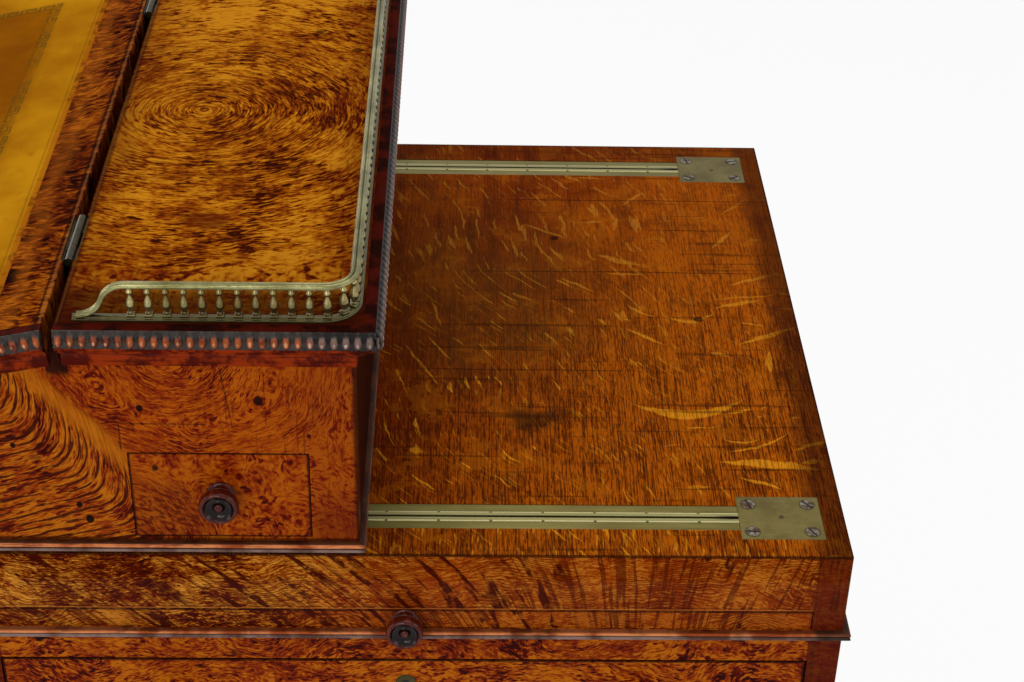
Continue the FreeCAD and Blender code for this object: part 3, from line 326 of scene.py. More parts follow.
class Finish(Nodes):
    """A material, the nodes that make it, and the colour that its layers are painted on."""

    def __init__(self, name, colour=None):
        self.material = bpy.data.materials.new(name)
        self.material.use_nodes = True
        super().__init__(self.material.node_tree)
        self.colour = colour
        self.place = self.node("ShaderNodeTexCoord", output="Object")
        self.x, self.y, self.z = self.parts(self.place)

    def parts(self, vector):
        """The three numbers of a vector."""
        split = self.node("ShaderNodeSeparateXYZ", values={0: vector}, output=None)
        return [Tone(self, socket) for socket in split.outputs]

    def vector(self, x, y, z):
        return self.node("ShaderNodeCombineXYZ", values={0: x, 1: y, 2: z})

    def moved(self, seed):
        """The place on the piece, moved to another part of the noises by a seed."""
        return self.node("ShaderNodeVectorMath", {"operation": "ADD"},
                         {0: self.place, 1: (seed, seed * 0.7, -seed * 0.4)})

    def noise(self, scale, detail=2.0, rough=0.5, where=None, twist=0.0):
        return self.node("ShaderNodeTexNoise", values={
            "Vector": where or self.place, "Scale": scale, "Detail": detail, "Roughness": rough,
            "Distortion": twist})

    def grain(self, x, y, z, detail=2.0, rough=0.5):
        """Noise that is as quick along each direction as its number says."""
        where = self.node("ShaderNodeVectorMath", {"operation": "MULTIPLY"},
                          {0: self.place, 1: (x, y, z)})
        return self.noise(1.0, detail, rough, where)

    def layered(self, scale, layer, where, detail=1.0, rough=0.5):
        """Noise of a place and of one more value, so that it follows that value's contours."""
        return self.node("ShaderNodeTexNoise", {"noise_dimensions": "4D"},
                         {"Vector": where, "W": layer, "Scale": scale, "Detail": detail,
                          "Roughness": rough})

    def cells(self, scale, where=None):
        return self.node("ShaderNodeTexVoronoi", {"feature": "F1"},
                         {"Vector": where or self.place, "Scale": scale, "Randomness": 1.0})

    def relief(self):
        """The marks of the surface."""
        return self.node("ShaderNodeAttribute", {"attribute_name": "relief"}, output=2)

    def mix(self, amount, first, second):
        """The first colour where the amount is 0 and the second where it is 1."""
        first, second = (tint(*c) if isinstance(c, tuple) else c for c in (first, second))
        return self.node("ShaderNodeMix", {"data_type": "RGBA"}, {0: amount, 6: first, 7: second},
                         output=2)

    def base(self, amount, first, second):
        """Gives the finish a colour to lay others on."""
        self.colour = self.mix(amount, first, second)

    def paint(self, *layers):
        """Lays colours over the finish, each as (where, how much, red, green, blue) or as
        (where, how much, colour)."""
        for where, share, *shade in layers:
            amount = where if share == 1 else where * share
            self.base(amount, self.colour, shade[0] if len(shade) == 1 else tuple(shade))

    def bump(self, height, depth, below=None):
        """A bump of a height that is 0 to 1, with its depth in metres."""
        values = {"Height": height, "Strength": 1.0, "Distance": depth}
        if below:
            values["Normal"] = below
        return self.node("ShaderNodeBump", values=values)

    def done(self, roughness, normal=None, metallic=0.0, specular=0.5, under=None):
        """The surface itself. Under is a factor and a colour: a dull second surface in places."""
        values = {"Base Color": self.colour, "Roughness": roughness, "Metallic": metallic,
                  "Specular IOR Level": specular}
        if normal:
            values["Normal"] = normal
        shader = self.node("ShaderNodeBsdfPrincipled", values=values)
        if under:
            dull = self.node("ShaderNodeBsdfPrincipled", values={
                "Base Color": under[1], "Roughness": 0.5, "Specular IOR Level": 0.005})
            shader = self.node("ShaderNodeMixShader", values={0: under[0], 1: shader, 2: dull})
        self.node("ShaderNodeOutputMaterial", values={0: shader}, output=None)
        return self.material


# ------------------------------------------------------------------ finishes: timber
def pollard(finish, rings, light, middle, red, dark, seed, fine=1.0, dashes=0.5, blotches=0.3,
            knots=1.0, depth=0.0, mottled=1.0, contrast=1.25):
    """Pollard oak veneer, figured along the contours of a field called rings.

    Noises of the place and of rings together are quick across the contours and slow along
    them. Their sum, with mottle, bursts and broken dashes, is how dark the wood is, and a
    ramp turns that from light over middle and red to dark. A knot is a cell nearer to its
    centre than a small radius. Sets the finish's colour and returns the open grain.
    """
    place = finish.moved(seed)
    cloud = finish.noise(8, 3, 0.6, place)
    mottle = finish.noise(62, 4, 0.75, place)
    spread = finish.noise(26, 2, 0.6, place)
    dash = finish.layered(120 * fine, rings * 4.6, place)
    hair = finish.layered(210 * fine, rings * 4.8, place)
    shade = finish.layered(44 * fine, rings * 4.6, place, 3, 0.6)
    gate = spread * 0.62 - 0.31
    limit = 0.665 - dashes * 0.18
    cuts = (dash + gate).step(limit, limit + 0.07)
    pores = finish.layered(150 * fine, rings * 7, place, 0).step(0.58, 0.66)
    burst = finish.noise(52, 4, 0.7, place, 0.7) + gate * 0.8 + shade * 0.5 - 0.25
    burst = burst.step(0.70 - blotches * 0.16, 0.80 - blotches * 0.14)
    darkness = (cloud * 1.1 + mottle * 0.9 - 1) * mottled + 1
    darkness = darkness + shade * 1.25 + hair + (depth - 1.77)
    darkness = darkness + cuts * 0.40 + burst * 0.36 + pores * 0.20
    darkness = (darkness - 0.42) * contrast + 0.42
    stops = zip((0.10, 0.38, 0.66, 0.98), (light, middle, red, dark))
    finish.colour = finish.node("ShaderNodeValToRGB", {
        "stops": [(at, tint(*colour)) for at, colour in stops]}, {0: darkness})
    rare = finish.noise(13, 0, where=place).step(0.54, 0.58)
    knot = (finish.cells(26, place) + mottle * 0.14).step(0.19, 0.14) * rare * knots
    finish.paint((knot, 0.92, 16, 5, 3))
    return cuts.most(knot)


def contours(finish, scale, amount, seed, sway, centre=None, reach=0.0):
    """A smooth field whose contours are the figure of the veneer, in metres.

    It is low noise times an amount, a quicker noise times the sway, and the distance from a
    centre, drawn out along Y by a factor, wherever that is shorter than its reach.
    """
    place = finish.moved(seed)
    quick = finish.noise(scale * 5, 1, 0.5, place)
    field = finish.noise(scale, 1, 0.4, place) * amount + quick * sway
    if centre:
        x, y, z, long = centre
        gap = distance(finish.x - x * MM, (finish.y - y * MM) / long, finish.z - z * MM)
        field = field + gap * gap.step(reach, reach * 0.5)
    return field


def polished(finish, marks, shine=0.28, depth=0.00005, specular=0.025):
    """Old French polish: a soft sheen that is duller over the open grain, and faint waves."""
    normal = finish.bump(1.0 - marks, depth)
    normal = finish.bump(finish.noise(16), 0.0005, normal)
    smear = finish.noise(35, 3, 0.6)
    return finish.done(shine + smear * 0.12 + marks * 0.05, normal, specular=specular)


def flat_top_finish():
    """Veneer of the fixed top: a large swirl, dark outside the gallery, with painted shade inside
    the gallery's runs and along the hinge gap.
    """
    finish = Finish("swirled_pollard_oak")
    x, y = finish.x, finish.y
    rings = contours(finish, 9, 0.028, 0.3, 0.005, (6, 16, 846, 1.1), 0.36)
    marks = pollard(finish, rings, (190, 122, 22), (160, 88, 8), (112, 42, 4), (48, 12, 3), 0.2,
                    dashes=0.52, blotches=0, knots=0.8, depth=-0.03)
    turns = finish.layered(30, rings * 2, finish.moved(4.4), 2, 0.6) * 0.007
    arcs = ((rings + turns) * 1350).sine().step(0.25, 0.92)
    broken = finish.layered(52, rings * 2.5, finish.moved(2.8), 2, 0.6).step(0.42, 0.52)
    swirl = distance(x - 0.006, y - 0.016).step(0.125, 0.080)
    spot = distance(x - 0.147, (y - 0.032) / 1.3) + finish.noise(90) * 0.012
    far = abs(x).step(0.2490, 0.2500).most(y.step(0.1215, 0.1225))
    warp = finish.noise(26, 4, 0.6)
    # painted shade, darker towards the side and back runs of the gallery
    rail_shade = (x + warp * 0.09 - 0.045).step(0.165, 0.235).most(
        (y + warp * 0.07 - 0.035).step(0.085, 0.125))
    cross = finish.grain(90, 420, 1).step(0.56, 0.68)
    finish.paint(
        (arcs * broken * swirl, 0.62, 88, 34, 5), (spot.step(0.021, 0.013), 0.75, 78, 14, 4),
        # painted shade: the second layer here darkens the top towards the hinge gap
        (far, 0.85, 48, 10, 5), ((y + warp * 0.05).step(0.020, -0.018), 0.55, 82, 22, 4),
        # painted shade towards the gallery, with dark streaks only inside it
        (rail_shade, 0.42, 92, 22, 4), (cross * rail_shade, 0.6, 52, 10, 3),
        # painted shadow inside the side runs of the gallery, behind the balusters
        ((abs(x) + warp * 0.012).step(0.220, 0.238), 0.74, 44, 10, 3),
        # painted shade: a dark band along the hinge edge
        (y.step(-0.0334, -0.0360), 0.7, 42, 12, 5),
        (y.between(-0.0372, -0.0362, 0.0004), 0.4, 104, 62, 30),
        # painted shade on the edge faces under the top, in the hinge gap
        (finish.z.step(0.8452, 0.8440), 0.85, 22, 8, 4))
    return polished(finish, marks, specular=0.001)


def lid_finish():
    """Veneer of the lid: streaks that run across its border, dark red-brown."""
    finish = Finish("cross_banded_pollard_oak")
    y = finish.y
    rings = contours(finish, 8, 0.06, 1.7, 0.014) + finish.x * 0.75
    marks = pollard(finish, rings, (160, 86, 12), (118, 50, 5), (72, 17, 3), (22, 5, 2), 1.4,
                    dashes=0.66, blotches=0.4, depth=0.06, contrast=1.05)
    finish.paint(
        (finish.grain(330, 34, 34, 3, 0.6).step(0.50, 0.66), 0.55, 46, 12, 4),
        ((y + finish.noise(40) * 0.02).between(-0.062, -0.052, 0.004), 0.22, 178, 96, 22),
        (y.between(-0.0490, -0.0475, 0.0004), 0.75, 26, 9, 5),
        (y.between(-0.0466, -0.0455, 0.0004), 0.45, 120, 88, 54))
    return polished(finish, marks, specular=0.001)


# y, z and radius of the knots of the box side, in millimetres
SIDE_KNOTS = ((2.6, 784.4, 2.6), (70.2, 790, 3.2), (98, 765, 2), (-72, 757, 2), (-38, 714, 2.4),
              (-33, 703, 3))


def box_side_finish():
    """Veneer of the box sides: rows of dashes that turn up along a gold streak, and a plainer
    veneer behind it. Beside is the distance behind the streak's line."""
    finish = Finish("fanned_pollard_oak")
    y, z = finish.y, finish.z
    calm = contours(finish, 10, 0.09, 5.3, 0.012, (252, 30, 830, 1), 0.10)
    pollard(finish, calm, (172, 84, 6), (146, 57, 3), (110, 23, 3), (64, 11, 3), 7.7, fine=1.6,
            dashes=0.46, blotches=-1.2, knots=0.6, depth=-0.02, mottled=0.6)
    scratch = finish.grain(60, 520, 30).step(0.60, 0.68)
    finish.paint((scratch * 0.5 * y.step(0.02, 0.06), 1, 62, 14, 3))
    quiet = finish.colour
    beside = (z + y * 1.19 - 0.734) / 1.554
    bend = (beside + 0.034).most(0.0)
    fan = z * 1.15 - y * 0.27 - bend * bend * 34
    swirl = contours(finish, 9, 0.030, 2.6, 0.003)
    rings = fan + swirl
    marks = pollard(finish, rings, (176, 98, 12), (148, 63, 4), (104, 21, 3), (46, 6, 2), 2.1,
                    dashes=0.42, blotches=-1, knots=0.4, depth=-0.02, mottled=0.7)
    wobble = finish.layered(30, fan * 3, finish.moved(9.1), 2, 0.6) * 0.010
    rows = ((fan + wobble + swirl * 0.5) * 1080).sine().step(0.20, 0.75)
    broken = finish.layered(58, rings * 4, finish.moved(6.4), 2, 0.6).step(0.42, 0.49)
    warp = finish.noise(30) * 0.04 - 0.02
    streak = beside + warp * 0.3
    finish.paint((rows * broken, 0.92, 54, 10, 3),
                 (streak.between(-0.002, 0.010, 0.004), 0.62, 176, 96, 10),
                 (streak.step(0.004, 0.012), 1, quiet))
    for knot_y, knot_z, size in SIDE_KNOTS:
        knot = distance(y - knot_y * MM, (z - knot_z * MM) / 1.3) + finish.noise(240) * 0.0016
        finish.paint((knot.step((size + 0.5) * MM, (size - 0.2) * MM), 0.97, 16, 6, 4))
    patch = (y.between(-0.009, 0.040, 0.001) * z.between(0.7728, 0.7736, 0.0004)).most(
        y.between(-0.0108, -0.0098, 0.0004) * z.between(0.7545, 0.7735, 0.001))
    crack = (y - 0.0535 + (z - 0.78) * 0.12).between(-0.0005, 0.0005, 0.0003)
    crack = crack * z.step(0.765, 0.775) * finish.noise(60).step(0.42, 0.5)
    # painted shade on the side where it shows in the gap between the lid's and the top's cornices
    gap_shade = y.between(-0.0475, -0.0345, 0.0010) * z.step(0.8040, 0.8100)
    finish.paint(
        (patch.most(crack), 0.7, 36, 10, 4),
        ((z - 0.76).step(-0.02, -0.06) * y.step(0.09, 0.105), 0.5, 88, 22, 4),
        ((y + warp).step(0.055, 0.115), 0.30, 104, 26, 4),
        (y.step(0.1222, 0.1250), 0.85, 40, 8, 4), (gap_shade, 0.9, 18, 6, 4),
        # darker along the foot over the moulding: a dark veneer line, with painted shade where the
        # side meets the moulding
        (z.step(0.6905, 0.6885), 0.75, 48, 12, 5))
    return polished(finish, marks)


def pen_front_finish():
    """Veneer of the pen drawer: quiet, with dashes in one corner and dark edges."""
    finish = Finish("pen_drawer_veneer")
    y, z = finish.y, finish.z
    rings = contours(finish, 12, 0.05, 3.3, 0.008, (252, -22, 682, 1), 0.07)
    marks = pollard(finish, rings, (166, 82, 6), (142, 55, 3), (106, 21, 3), (52, 8, 3), 3.9,
                    fine=1.5, dashes=0.20, blotches=-1.6, knots=0.5, depth=0.02, mottled=0.5)
    knot = distance(y - 0.0082, (z - 0.7416) / 1.2) + finish.noise(260) * 0.0014
    corner = distance((y - 0.010) / 1.2, z - 0.708) + finish.noise(60) * 0.02
    slanted = finish.vector((y - z * 0.5) * 150, (z + y * 0.5) * 420, 3)
    dashes = finish.noise(1, 2, 0.55, slanted).step(0.46, 0.60)
    edge = abs(y - 0.0452).step(0.0503, 0.0516).most(abs(z - 0.7215).step(0.0294, 0.0304))
    finish.paint((knot.step(0.0034, 0.0020), 0.9, 16, 6, 4),
                 (corner.step(0.042, 0.024) * (dashes * 0.6 + 0.25), 1, 72, 12, 3),
                 (edge, 0.85, 30, 8, 4))
    return polished(finish, marks)


# where the stiles of the sides begin, in metres along Y
STILE, FRONT_STILE = (0.4010, 0.4022), (-0.0965, -0.0980)


def stile(finish, ends, share, quick, slow, steps, amount, light, dark):
    """Plain upright grain over the ends of the two long sides."""
    grain = finish.grain(quick, quick, slow).step(*steps)
    finish.paint((ends * abs(finish.x).step(0.2460, 0.2500), share,
                  finish.mix(grain * amount, light, dark)))


def frieze_layers(name, seed, gold=(198, 130, 40)):
    """Veneer of the frieze and the slide: gold with wavy lines, leaning bars and a plain stile.

    The wavy lines are thin bands of a sine of the field, broken by noise. The bars are noise
    that is quick along a line whose lean falls with Y. Lines mark the mouth of the slide.
    """
    finish = Finish(name)
    y, z = finish.y, finish.z
    rings = contours(finish, 17, 0.034, seed, 0.005) + z * 0.9
    marks = pollard(finish, rings, gold, (152, 78, 10), (90, 16, 3), (44, 6, 3), seed * 1.7,
                    fine=2, dashes=0.58, blotches=0.62, depth=-0.01)
    wave = (rings * 3300).sine() * 0.5 + 0.5
    broken = finish.noise(30, 3, where=finish.moved(seed + 3)).step(0.40, 0.56)
    curl = wave.step(0.45, 0.95) * broken
    lean = 0.9 - y.step(0.06, 0.41) * 1.4 + finish.noise(7, where=finish.moved(seed + 8)) * 0.3
    along = y + finish.x * 0.7 + (z - 0.65) * lean
    places = finish.noise(13, where=finish.moved(seed + 5))
    spots = finish.noise(150, where=finish.moved(seed + 2)).step(0.36, 0.50)
    bars = finish.noise(1, 3, 0.6, finish.vector(along * 104, z * 18, seed)).step(0.53, 0.59)
    bars = bars * places.step(0.38, 0.48) * (spots * 0.7 + 0.3)
    fine_bars = finish.noise(1, 2, 0.55, finish.vector(along * 360, z * 16, seed)).step(0.50, 0.58)
    redder = (y + finish.noise(9, 1) * 0.2).step(0.10, 0.30)
    finish.paint((redder, 0.50, 150, 56, 3), (curl, 0.66, 74, 20, 4),
                 (fine_bars * places.step(0.58, 0.48), 0.68, 70, 14, 3), (bars, 0.95, 58, 9, 3))
    stile(finish, y.step(*STILE), 0.85, 500, 30, (0.42, 0.66), 0.7, (92, 26, 5), (40, 10, 4))
    low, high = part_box("brushing_slide")
    right = finish.x.step(0.0, 0.1)
    across = y.between(low.y, high.y, 0.0006) * right
    # painted shadow lines along the top and the right end of the slide
    slide_shadow_line = z.between(high.z - 0.0012, high.z - 0.0001, 0.0004) * across
    slide_shadow_line = slide_shadow_line.most(z.between(high.z + 0.0019, high.z + 0.0026, 0.0004) * across * 0.6)
    slide_shadow_line = slide_shadow_line.most(y.between(high.y - 0.0006, high.y + 0.0016, 0.0006)
                               * z.step(high.z + 0.0010, high.z) * right)
    finish.paint((y.between(0.4006, 0.4011, 0.0003), 0.6, 28, 7, 3),
                 (z.between(0.6784, 0.6795, 0.0005), 0.75, 40, 12, 5),
                 # painted highlight along the mouth of the slide, just over its top
                 (z.between(high.z + 0.0003, high.z + 0.0012, 0.0004) * across, 0.6, 186, 104, 44),
                 (slide_shadow_line, 0.88, 30, 8, 4))
    return finish, marks.most(curl * 0.5)


# middle x and y, degrees from +X, half length, half width, rise of the ends
LARGE_FLECKS = (
    (-77, 303, 65, 19, 3.3, 2.6), (-59, 306, 88, 14, 1.2, 0), (-9, 313, 49, 13, 1.7, 2),
    (23, 315, 52, 17, 1.7, 0), (3, 350, 99, 20, 2.4, 11.3), (-20, 385, 109, 20, 2.2, 0),
    (-29, 392, 98, 26, 1, 0), (-53, 400, 114, 24, 1.7, 0), (21, 401, 118, 26, 2.5, 0),
    (53, 399, 174, 14, 2.8, 0), (115, 339, 93, 38, 5.4, 15.6), (129, 344, 91, 12, 0.8, 0),
    (145, 370, 94, 13, 1, 4.2), (148, 382, 115, 24, 1.2, 4.6), (168, 385, 84, 34, 4.6, -1),
    (-159, 398, 139, 20, 1.2, 0), (-109, 383, 147, 18, 1.6, 0.7), (-169, 319, 140, 15, 2, 0),
    (187, 377, 66, 15, 1.6, 0), (-201, 287, 87, 12, 1.8, -1.6), (-133, 285, 96, 11, 1.6, 0),
    (-118, 250, 57, 22, 1.4, 0), (-86, 257, 28, 13, 1.8, 0), (-5, 169, 13, 20, 1, 0),
    (59, 160, 27, 30, 1.1, 0), (40, 172, 30, 18, 1.1, 0))


def large_fleck(finish, warped, x, y, degrees, length, width, rise):
    """A ray fleck. In its own axes u and v, in half lengths and half widths, it is where
    |v - rise u^2| is below 1 - u^2."""
    u, v, _ = finish.parts(finish.node("ShaderNodeMapping", {"vector_type": "TEXTURE"}, {
        "Vector": warped, "Location": (x * MM, y * MM, 0),
        "Rotation": (0, 0, math.radians(degrees)), "Scale": (length * MM, width * MM, 1)}))
    square = u * u
    return (1.0 - square - abs(v - square * (rise / width))).step(-0.08, 0.30)


def oak_rays(finish):
    """Where the rays of the oak are: noise stretched along a direction that turns from the
    grain towards Y on the way to the back edge, a strip of them at the right, and the large
    flecks one by one. All of it is on places that wander by a few millimetres."""
    wander = finish.node("ShaderNodeTexNoise", values={
        "Vector": finish.place, "Scale": 95.0, "Detail": 2.0}, output=1)
    warped = finish.node("ShaderNodeVectorMath", {"operation": "MULTIPLY_ADD"},
                         {0: wander, 1: (0.0045, 0.0045, 0), 2: finish.place})
    wx, wy, _ = finish.parts(warped)
    turn = finish.noise(5, 1) * 0.10
    short_a, short_b = wx * 0.91 + wy * 0.42, wy * 0.91 - wx * 0.42 + turn
    short = finish.noise(1, where=finish.vector(short_a * 36, short_b * 290, 3), detail=0)
    gate = finish.noise(12, 1) * 0.22 - 0.11
    sparse = (finish.x + 0.12).step(0.0, 0.20) * 0.055
    rays = (short + gate - sparse).step(0.675, 0.715) * (wy + turn).step(0.44, 0.34)
    long_a, long_b = wy * 0.98 - wx * 0.18, wx * 0.98 + wy * 0.18 + turn
    level = finish.noise(1, 1, 0.5, finish.vector(long_a * 30, long_b * 135, 8))
    rays = rays.most((level + gate).step(0.69, 0.72) * wy.step(0.30, 0.36) * 0.9)
    faint = finish.noise(1, 1, 0.5, finish.vector(short_a * 44, short_b * 420, 5))
    rays = rays.most(faint.step(0.60, 0.72) * 0.38)
    strip = finish.grain(70, 430, 5, 1).step(0.60, 0.70)
    rays = rays.most(strip * wx.step(0.228, 0.236) * 0.75)
    for fleck in LARGE_FLECKS:
        rays = rays.most(large_fleck(finish, warped, *fleck))
    return rays


def oak_top_finish():
    """Quarter-sawn oak of the pedestal's top, and the veneer that covers its edges.

    Grain: noise that is 40 times quicker across than along X. Over it lie mottle, the rays,
    a dull patch, a dark spot, streaks, three long cracks, worm holes and dark borders.
    """
    finish, edge_marks = frieze_layers("quarter_sawn_oak", 4.2)
    edge_colour = finish.colour
    x, y = finish.x, finish.y
    grain = finish.grain(20, 820, 40, 3, 0.65)
    pores = finish.grain(130, 1350, 60, 1)
    cloud = finish.noise(7, 3, 0.6)
    golden = (y - 0.24 + x * 0.35 + cloud * 0.25 - 0.125).step(-0.06, 0.12)
    clear = (x + y * 0.35 - 0.10).step(-0.16, 0.14) * 0.5 + 0.5
    mottle = finish.noise(34, 4, 0.7)
    finish.base(cloud.step(0.36, 0.62), (150, 70, 5), (122, 45, 3))
    finish.paint(
        (finish.grain(9, 70, 10).step(0.46, 0.64), 0.45, 76, 20, 3), (golden, 0.7, 176, 86, 8),
        (grain.step(0.47, 0.60) * 0.74 * clear, 1, 52, 14, 2),
        (pores.step(0.51, 0.58) * 0.62 * clear, 1, 34, 9, 2),
        (mottle.step(0.53, 0.62), 0.34, 58, 14, 3), (mottle.step(0.46, 0.38), 0.34, 168, 88, 8))
    through = 1.0 - grain.step(0.48, 0.62).most(pores.step(0.52, 0.60)) * 0.52
    ray_colour = finish.mix(x.step(-0.20, 0.16), (166, 100, 26), (208, 132, 22))
    rays = oak_rays(finish) * through
    dull = distance((x + 0.03) / 1.5, (y - 0.20) / 1.1).step(0.12, 0.04)
    dull = dull * (finish.noise(8).step(0.36, 0.6) * 0.6 + 0.4)
    spot = distance(x - 0.118, (y - 0.237) / 1.4) + finish.noise(60, 3) * 0.04
    streaks = finish.grain(210, 7, 10).step(0.62, 0.70)
    finish.paint((rays, 0.88, ray_colour), (dull, 0.42, 66, 44, 12),
                 (spot.step(0.040, 0.024), 0.72, 38, 16, 5), (streaks, 0.5, 44, 18, 5))
    for line_x, start, end in ((62.5, 0.16, 0.30), (-64, 0.20, 0.40), (-168, 0.22, 0.42)):
        line = (x - line_x * MM + finish.noise(14) * 0.004).between(0.0014, 0.0026, 0.0006)
        finish.paint((line * y.between(start, end, 0.02), 0.7, 30, 12, 4))
    holes = finish.cells(20).step(0.085, 0.05) * finish.noise(9).step(0.52, 0.56)
    band = ((x + finish.noise(20) * 0.010).step(-0.222, -0.232) * 0.45).most(
        (y + finish.noise(30) * 0.018).step(0.402, 0.422))
    rim = abs(x).step(0.2550, 0.2560).most(y.step(0.4204, 0.4216))
    finish.paint((holes, 0.85, 22, 10, 5), (band, 0.74, 46, 13, 4),
                 # painted shadow of the writing box: the first layer on this line darkens the top
                 # towards the box's back
                 ((y - 0.135).step(0.055, 0.0), 0.35, 70, 16, 3), (rim, 0.8, 40, 14, 6))
    upper = finish.z.step(0.6790, 0.6795)
    finish.base(upper, edge_colour, finish.colour)
    marks = (grain.step(0.5, 0.66) * upper).most(edge_marks * (1.0 - upper))
    return polished(finish, marks, 0.32, 0.00004, 0.004)


def outlines(finish, names):
    """1 on a thin line just inside the edges of each named front, looked at along X."""
    lines = []
    for name in names:
        low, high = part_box(name)
        reach = abs(finish.y - (low.y + high.y) / 2) - (high.y - low.y) / 2
        rise = abs(finish.z - (low.z + high.z) / 2) - (high.z - low.z) / 2
        line = reach.most(rise).between(-0.0012, 0.0006, 0.0003)
        lines = [lines[0].most(line)] if lines else [line]
    return lines[0]


def carcase_finish(name, seed, *fronts):
    """Pollard veneer of the drawers, rails and walls, with darker grain at the corners.

    The fronts that are named have a thin dark line round them.
    """
    finish = Finish(name)
    y = finish.y
    rings = contours(finish, 13, 0.045, seed, 0.006) + finish.z * 0.6
    marks = pollard(finish, rings, (176, 94, 9), (138, 52, 4), (98, 20, 3), (44, 6, 3), seed * 2.3,
                    fine=1.6, blotches=0.1, mottled=0.75)
    ends = y.step(*STILE).most(y.step(*FRONT_STILE))
    stile(finish, ends, 0.88, 400, 16, (0.45, 0.7), 0.6, (84, 20, 5), (36, 8, 4))
    if fronts:
        finish.paint((outlines(finish, fronts), 0.85, 26, 8, 3))
    return polished(finish, marks)


def dust_board_finish():
    """Dust boards: plain oak, with a strip of the drawers' veneer on their front edges."""
    finish = Finish("dust_board_oak")
    marks = pollard(finish, contours(finish, 9, 0.09, 8.8, 0.012), (170, 92, 12), (132, 54, 6),
                    (92, 26, 4), (46, 10, 3), 3.1, fine=1.05)
    grain = finish.grain(14, 300, 300, 3, 0.6)
    front = finish.x.step(0.2520, 0.2524)
    plain = finish.mix(grain.step(0.35, 0.65), (150, 106, 60), (112, 72, 38))
    finish.base(front, plain, finish.colour)
    return polished(finish, marks * front, 0.34)


def dark_back_finish():
    """Back of the box: stained, and darkened with painted shade to nearly black-brown, with fine
    upright grain.
    """
    finish = Finish("stained_and_shaded_back_oak")
    grain = finish.grain(500, 60, 22, 3, 0.6)
    finish.base(finish.noise(10), (46, 14, 7), (28, 9, 5))
    finish.paint((grain.step(0.5, 0.72), 0.6, 14, 6, 4))
    return polished(finish, grain.step(0.5, 0.7), 0.34, specular=0.01)


def plain_oak_finish(name, light, dark, shine=0.6):
    """Unpolished oak of boxes and linings: straight grain with open pores."""
    finish = Finish(name)
    grain = finish.grain(14, 300, 300, 3, 0.6)
    pores = finish.grain(60, 900, 900, 1)
    grime = finish.noise(12, 3)
    finish.base(grain.step(0.35, 0.65), light, dark)
    finish.paint((pores.step(0.62, 0.72), 0.4, *(int(c * 0.6) for c in dark)),
                 (grime.step(0.5, 0.8), 0.3, *(int(c * 0.7) for c in dark)))
    normal = finish.bump(1.0 - pores.step(0.6, 0.72), 0.0001)
    return finish.done(shine + grime * 0.1, normal, specular=0.2)


def turned_finish():
    """Knobs and feet: dark red-brown wood, glossy, with faint turning lines and painted shade in
    the dish of each knob.
    """
    finish = Finish("turned_dark_wood")
    cloud = finish.noise(55, 3)
    finish.base(cloud, (84, 22, 9), (44, 10, 5))
    finish.paint((finish.grain(90, 420, 90).step(0.52, 0.7), 0.5, 128, 46, 20),
                 # painted shade in the hollow of each knob's dish, where the relief mark is 1
                 (finish.relief(), 0.92, 10, 5, 4))
    normal = finish.bump(finish.noise(90, 1), 0.0002)
    return finish.done(0.07 + cloud * 0.09, normal, specular=0.17)


def reed_finish(name, low, split, high, far):
    """A double reed: the upper one warm brown, the lower one grey and worn, each with a painted
    highlight along it, and painted shade between them and at the foot.

    The ledge over it is dark, as dark wood with painted shade, and the run behind a far edge is
    dark too.
    """
    finish = Finish(name)
    z = finish.z
    streak = finish.grain(60, 60, 900, 3, 0.6)
    wear = finish.noise(38, 3, 0.65)
    lift = split + (high - split) * 0.42
    # painted highlight along the upper reed
    shine = z.between(lift, lift + 0.0004, 0.0005) * wear.step(0.60, 0.44)
    finish.base(wear.step(0.38, 0.66), (214, 126, 74), (150, 66, 28))
    finish.paint((streak.step(0.50, 0.66), 0.6, 62, 16, 6), (shine, 0.6, 214, 150, 98))
    warm = finish.colour
    # painted highlight along the lower reed
    glint = z.between(split * 0.45 + low * 0.55, split * 0.35 + low * 0.65 + 0.0002, 0.0005)
    finish.base(wear.step(0.36, 0.66), (134, 108, 98), (80, 54, 46))
    finish.paint((streak.step(0.54, 0.72), 0.5, 30, 20, 16), (glint, 0.4, 142, 132, 130))
    finish.base(z.step(split - 0.0002, split + 0.0002), finish.colour, warm)
    # painted shade in the crease between the reeds and along the foot of the lower one
    groove = z.between(split - 0.0004, split + 0.0004, 0.0003).most(z.step(low + 0.0004, low))
    # the second layer is the dark ledge: dark wood with painted shade
    finish.paint((groove, 0.85, 18, 7, 4), (z.step(high - 0.0010, high - 0.0004), 0.9, 26, 8, 4),
                 (finish.y.step(far - 0.002, far + 0.004), 0.8, 26, 16, 12))
    return finish.done(0.30 + wear * 0.14, finish.bump(wear, 0.0002), specular=0.05)


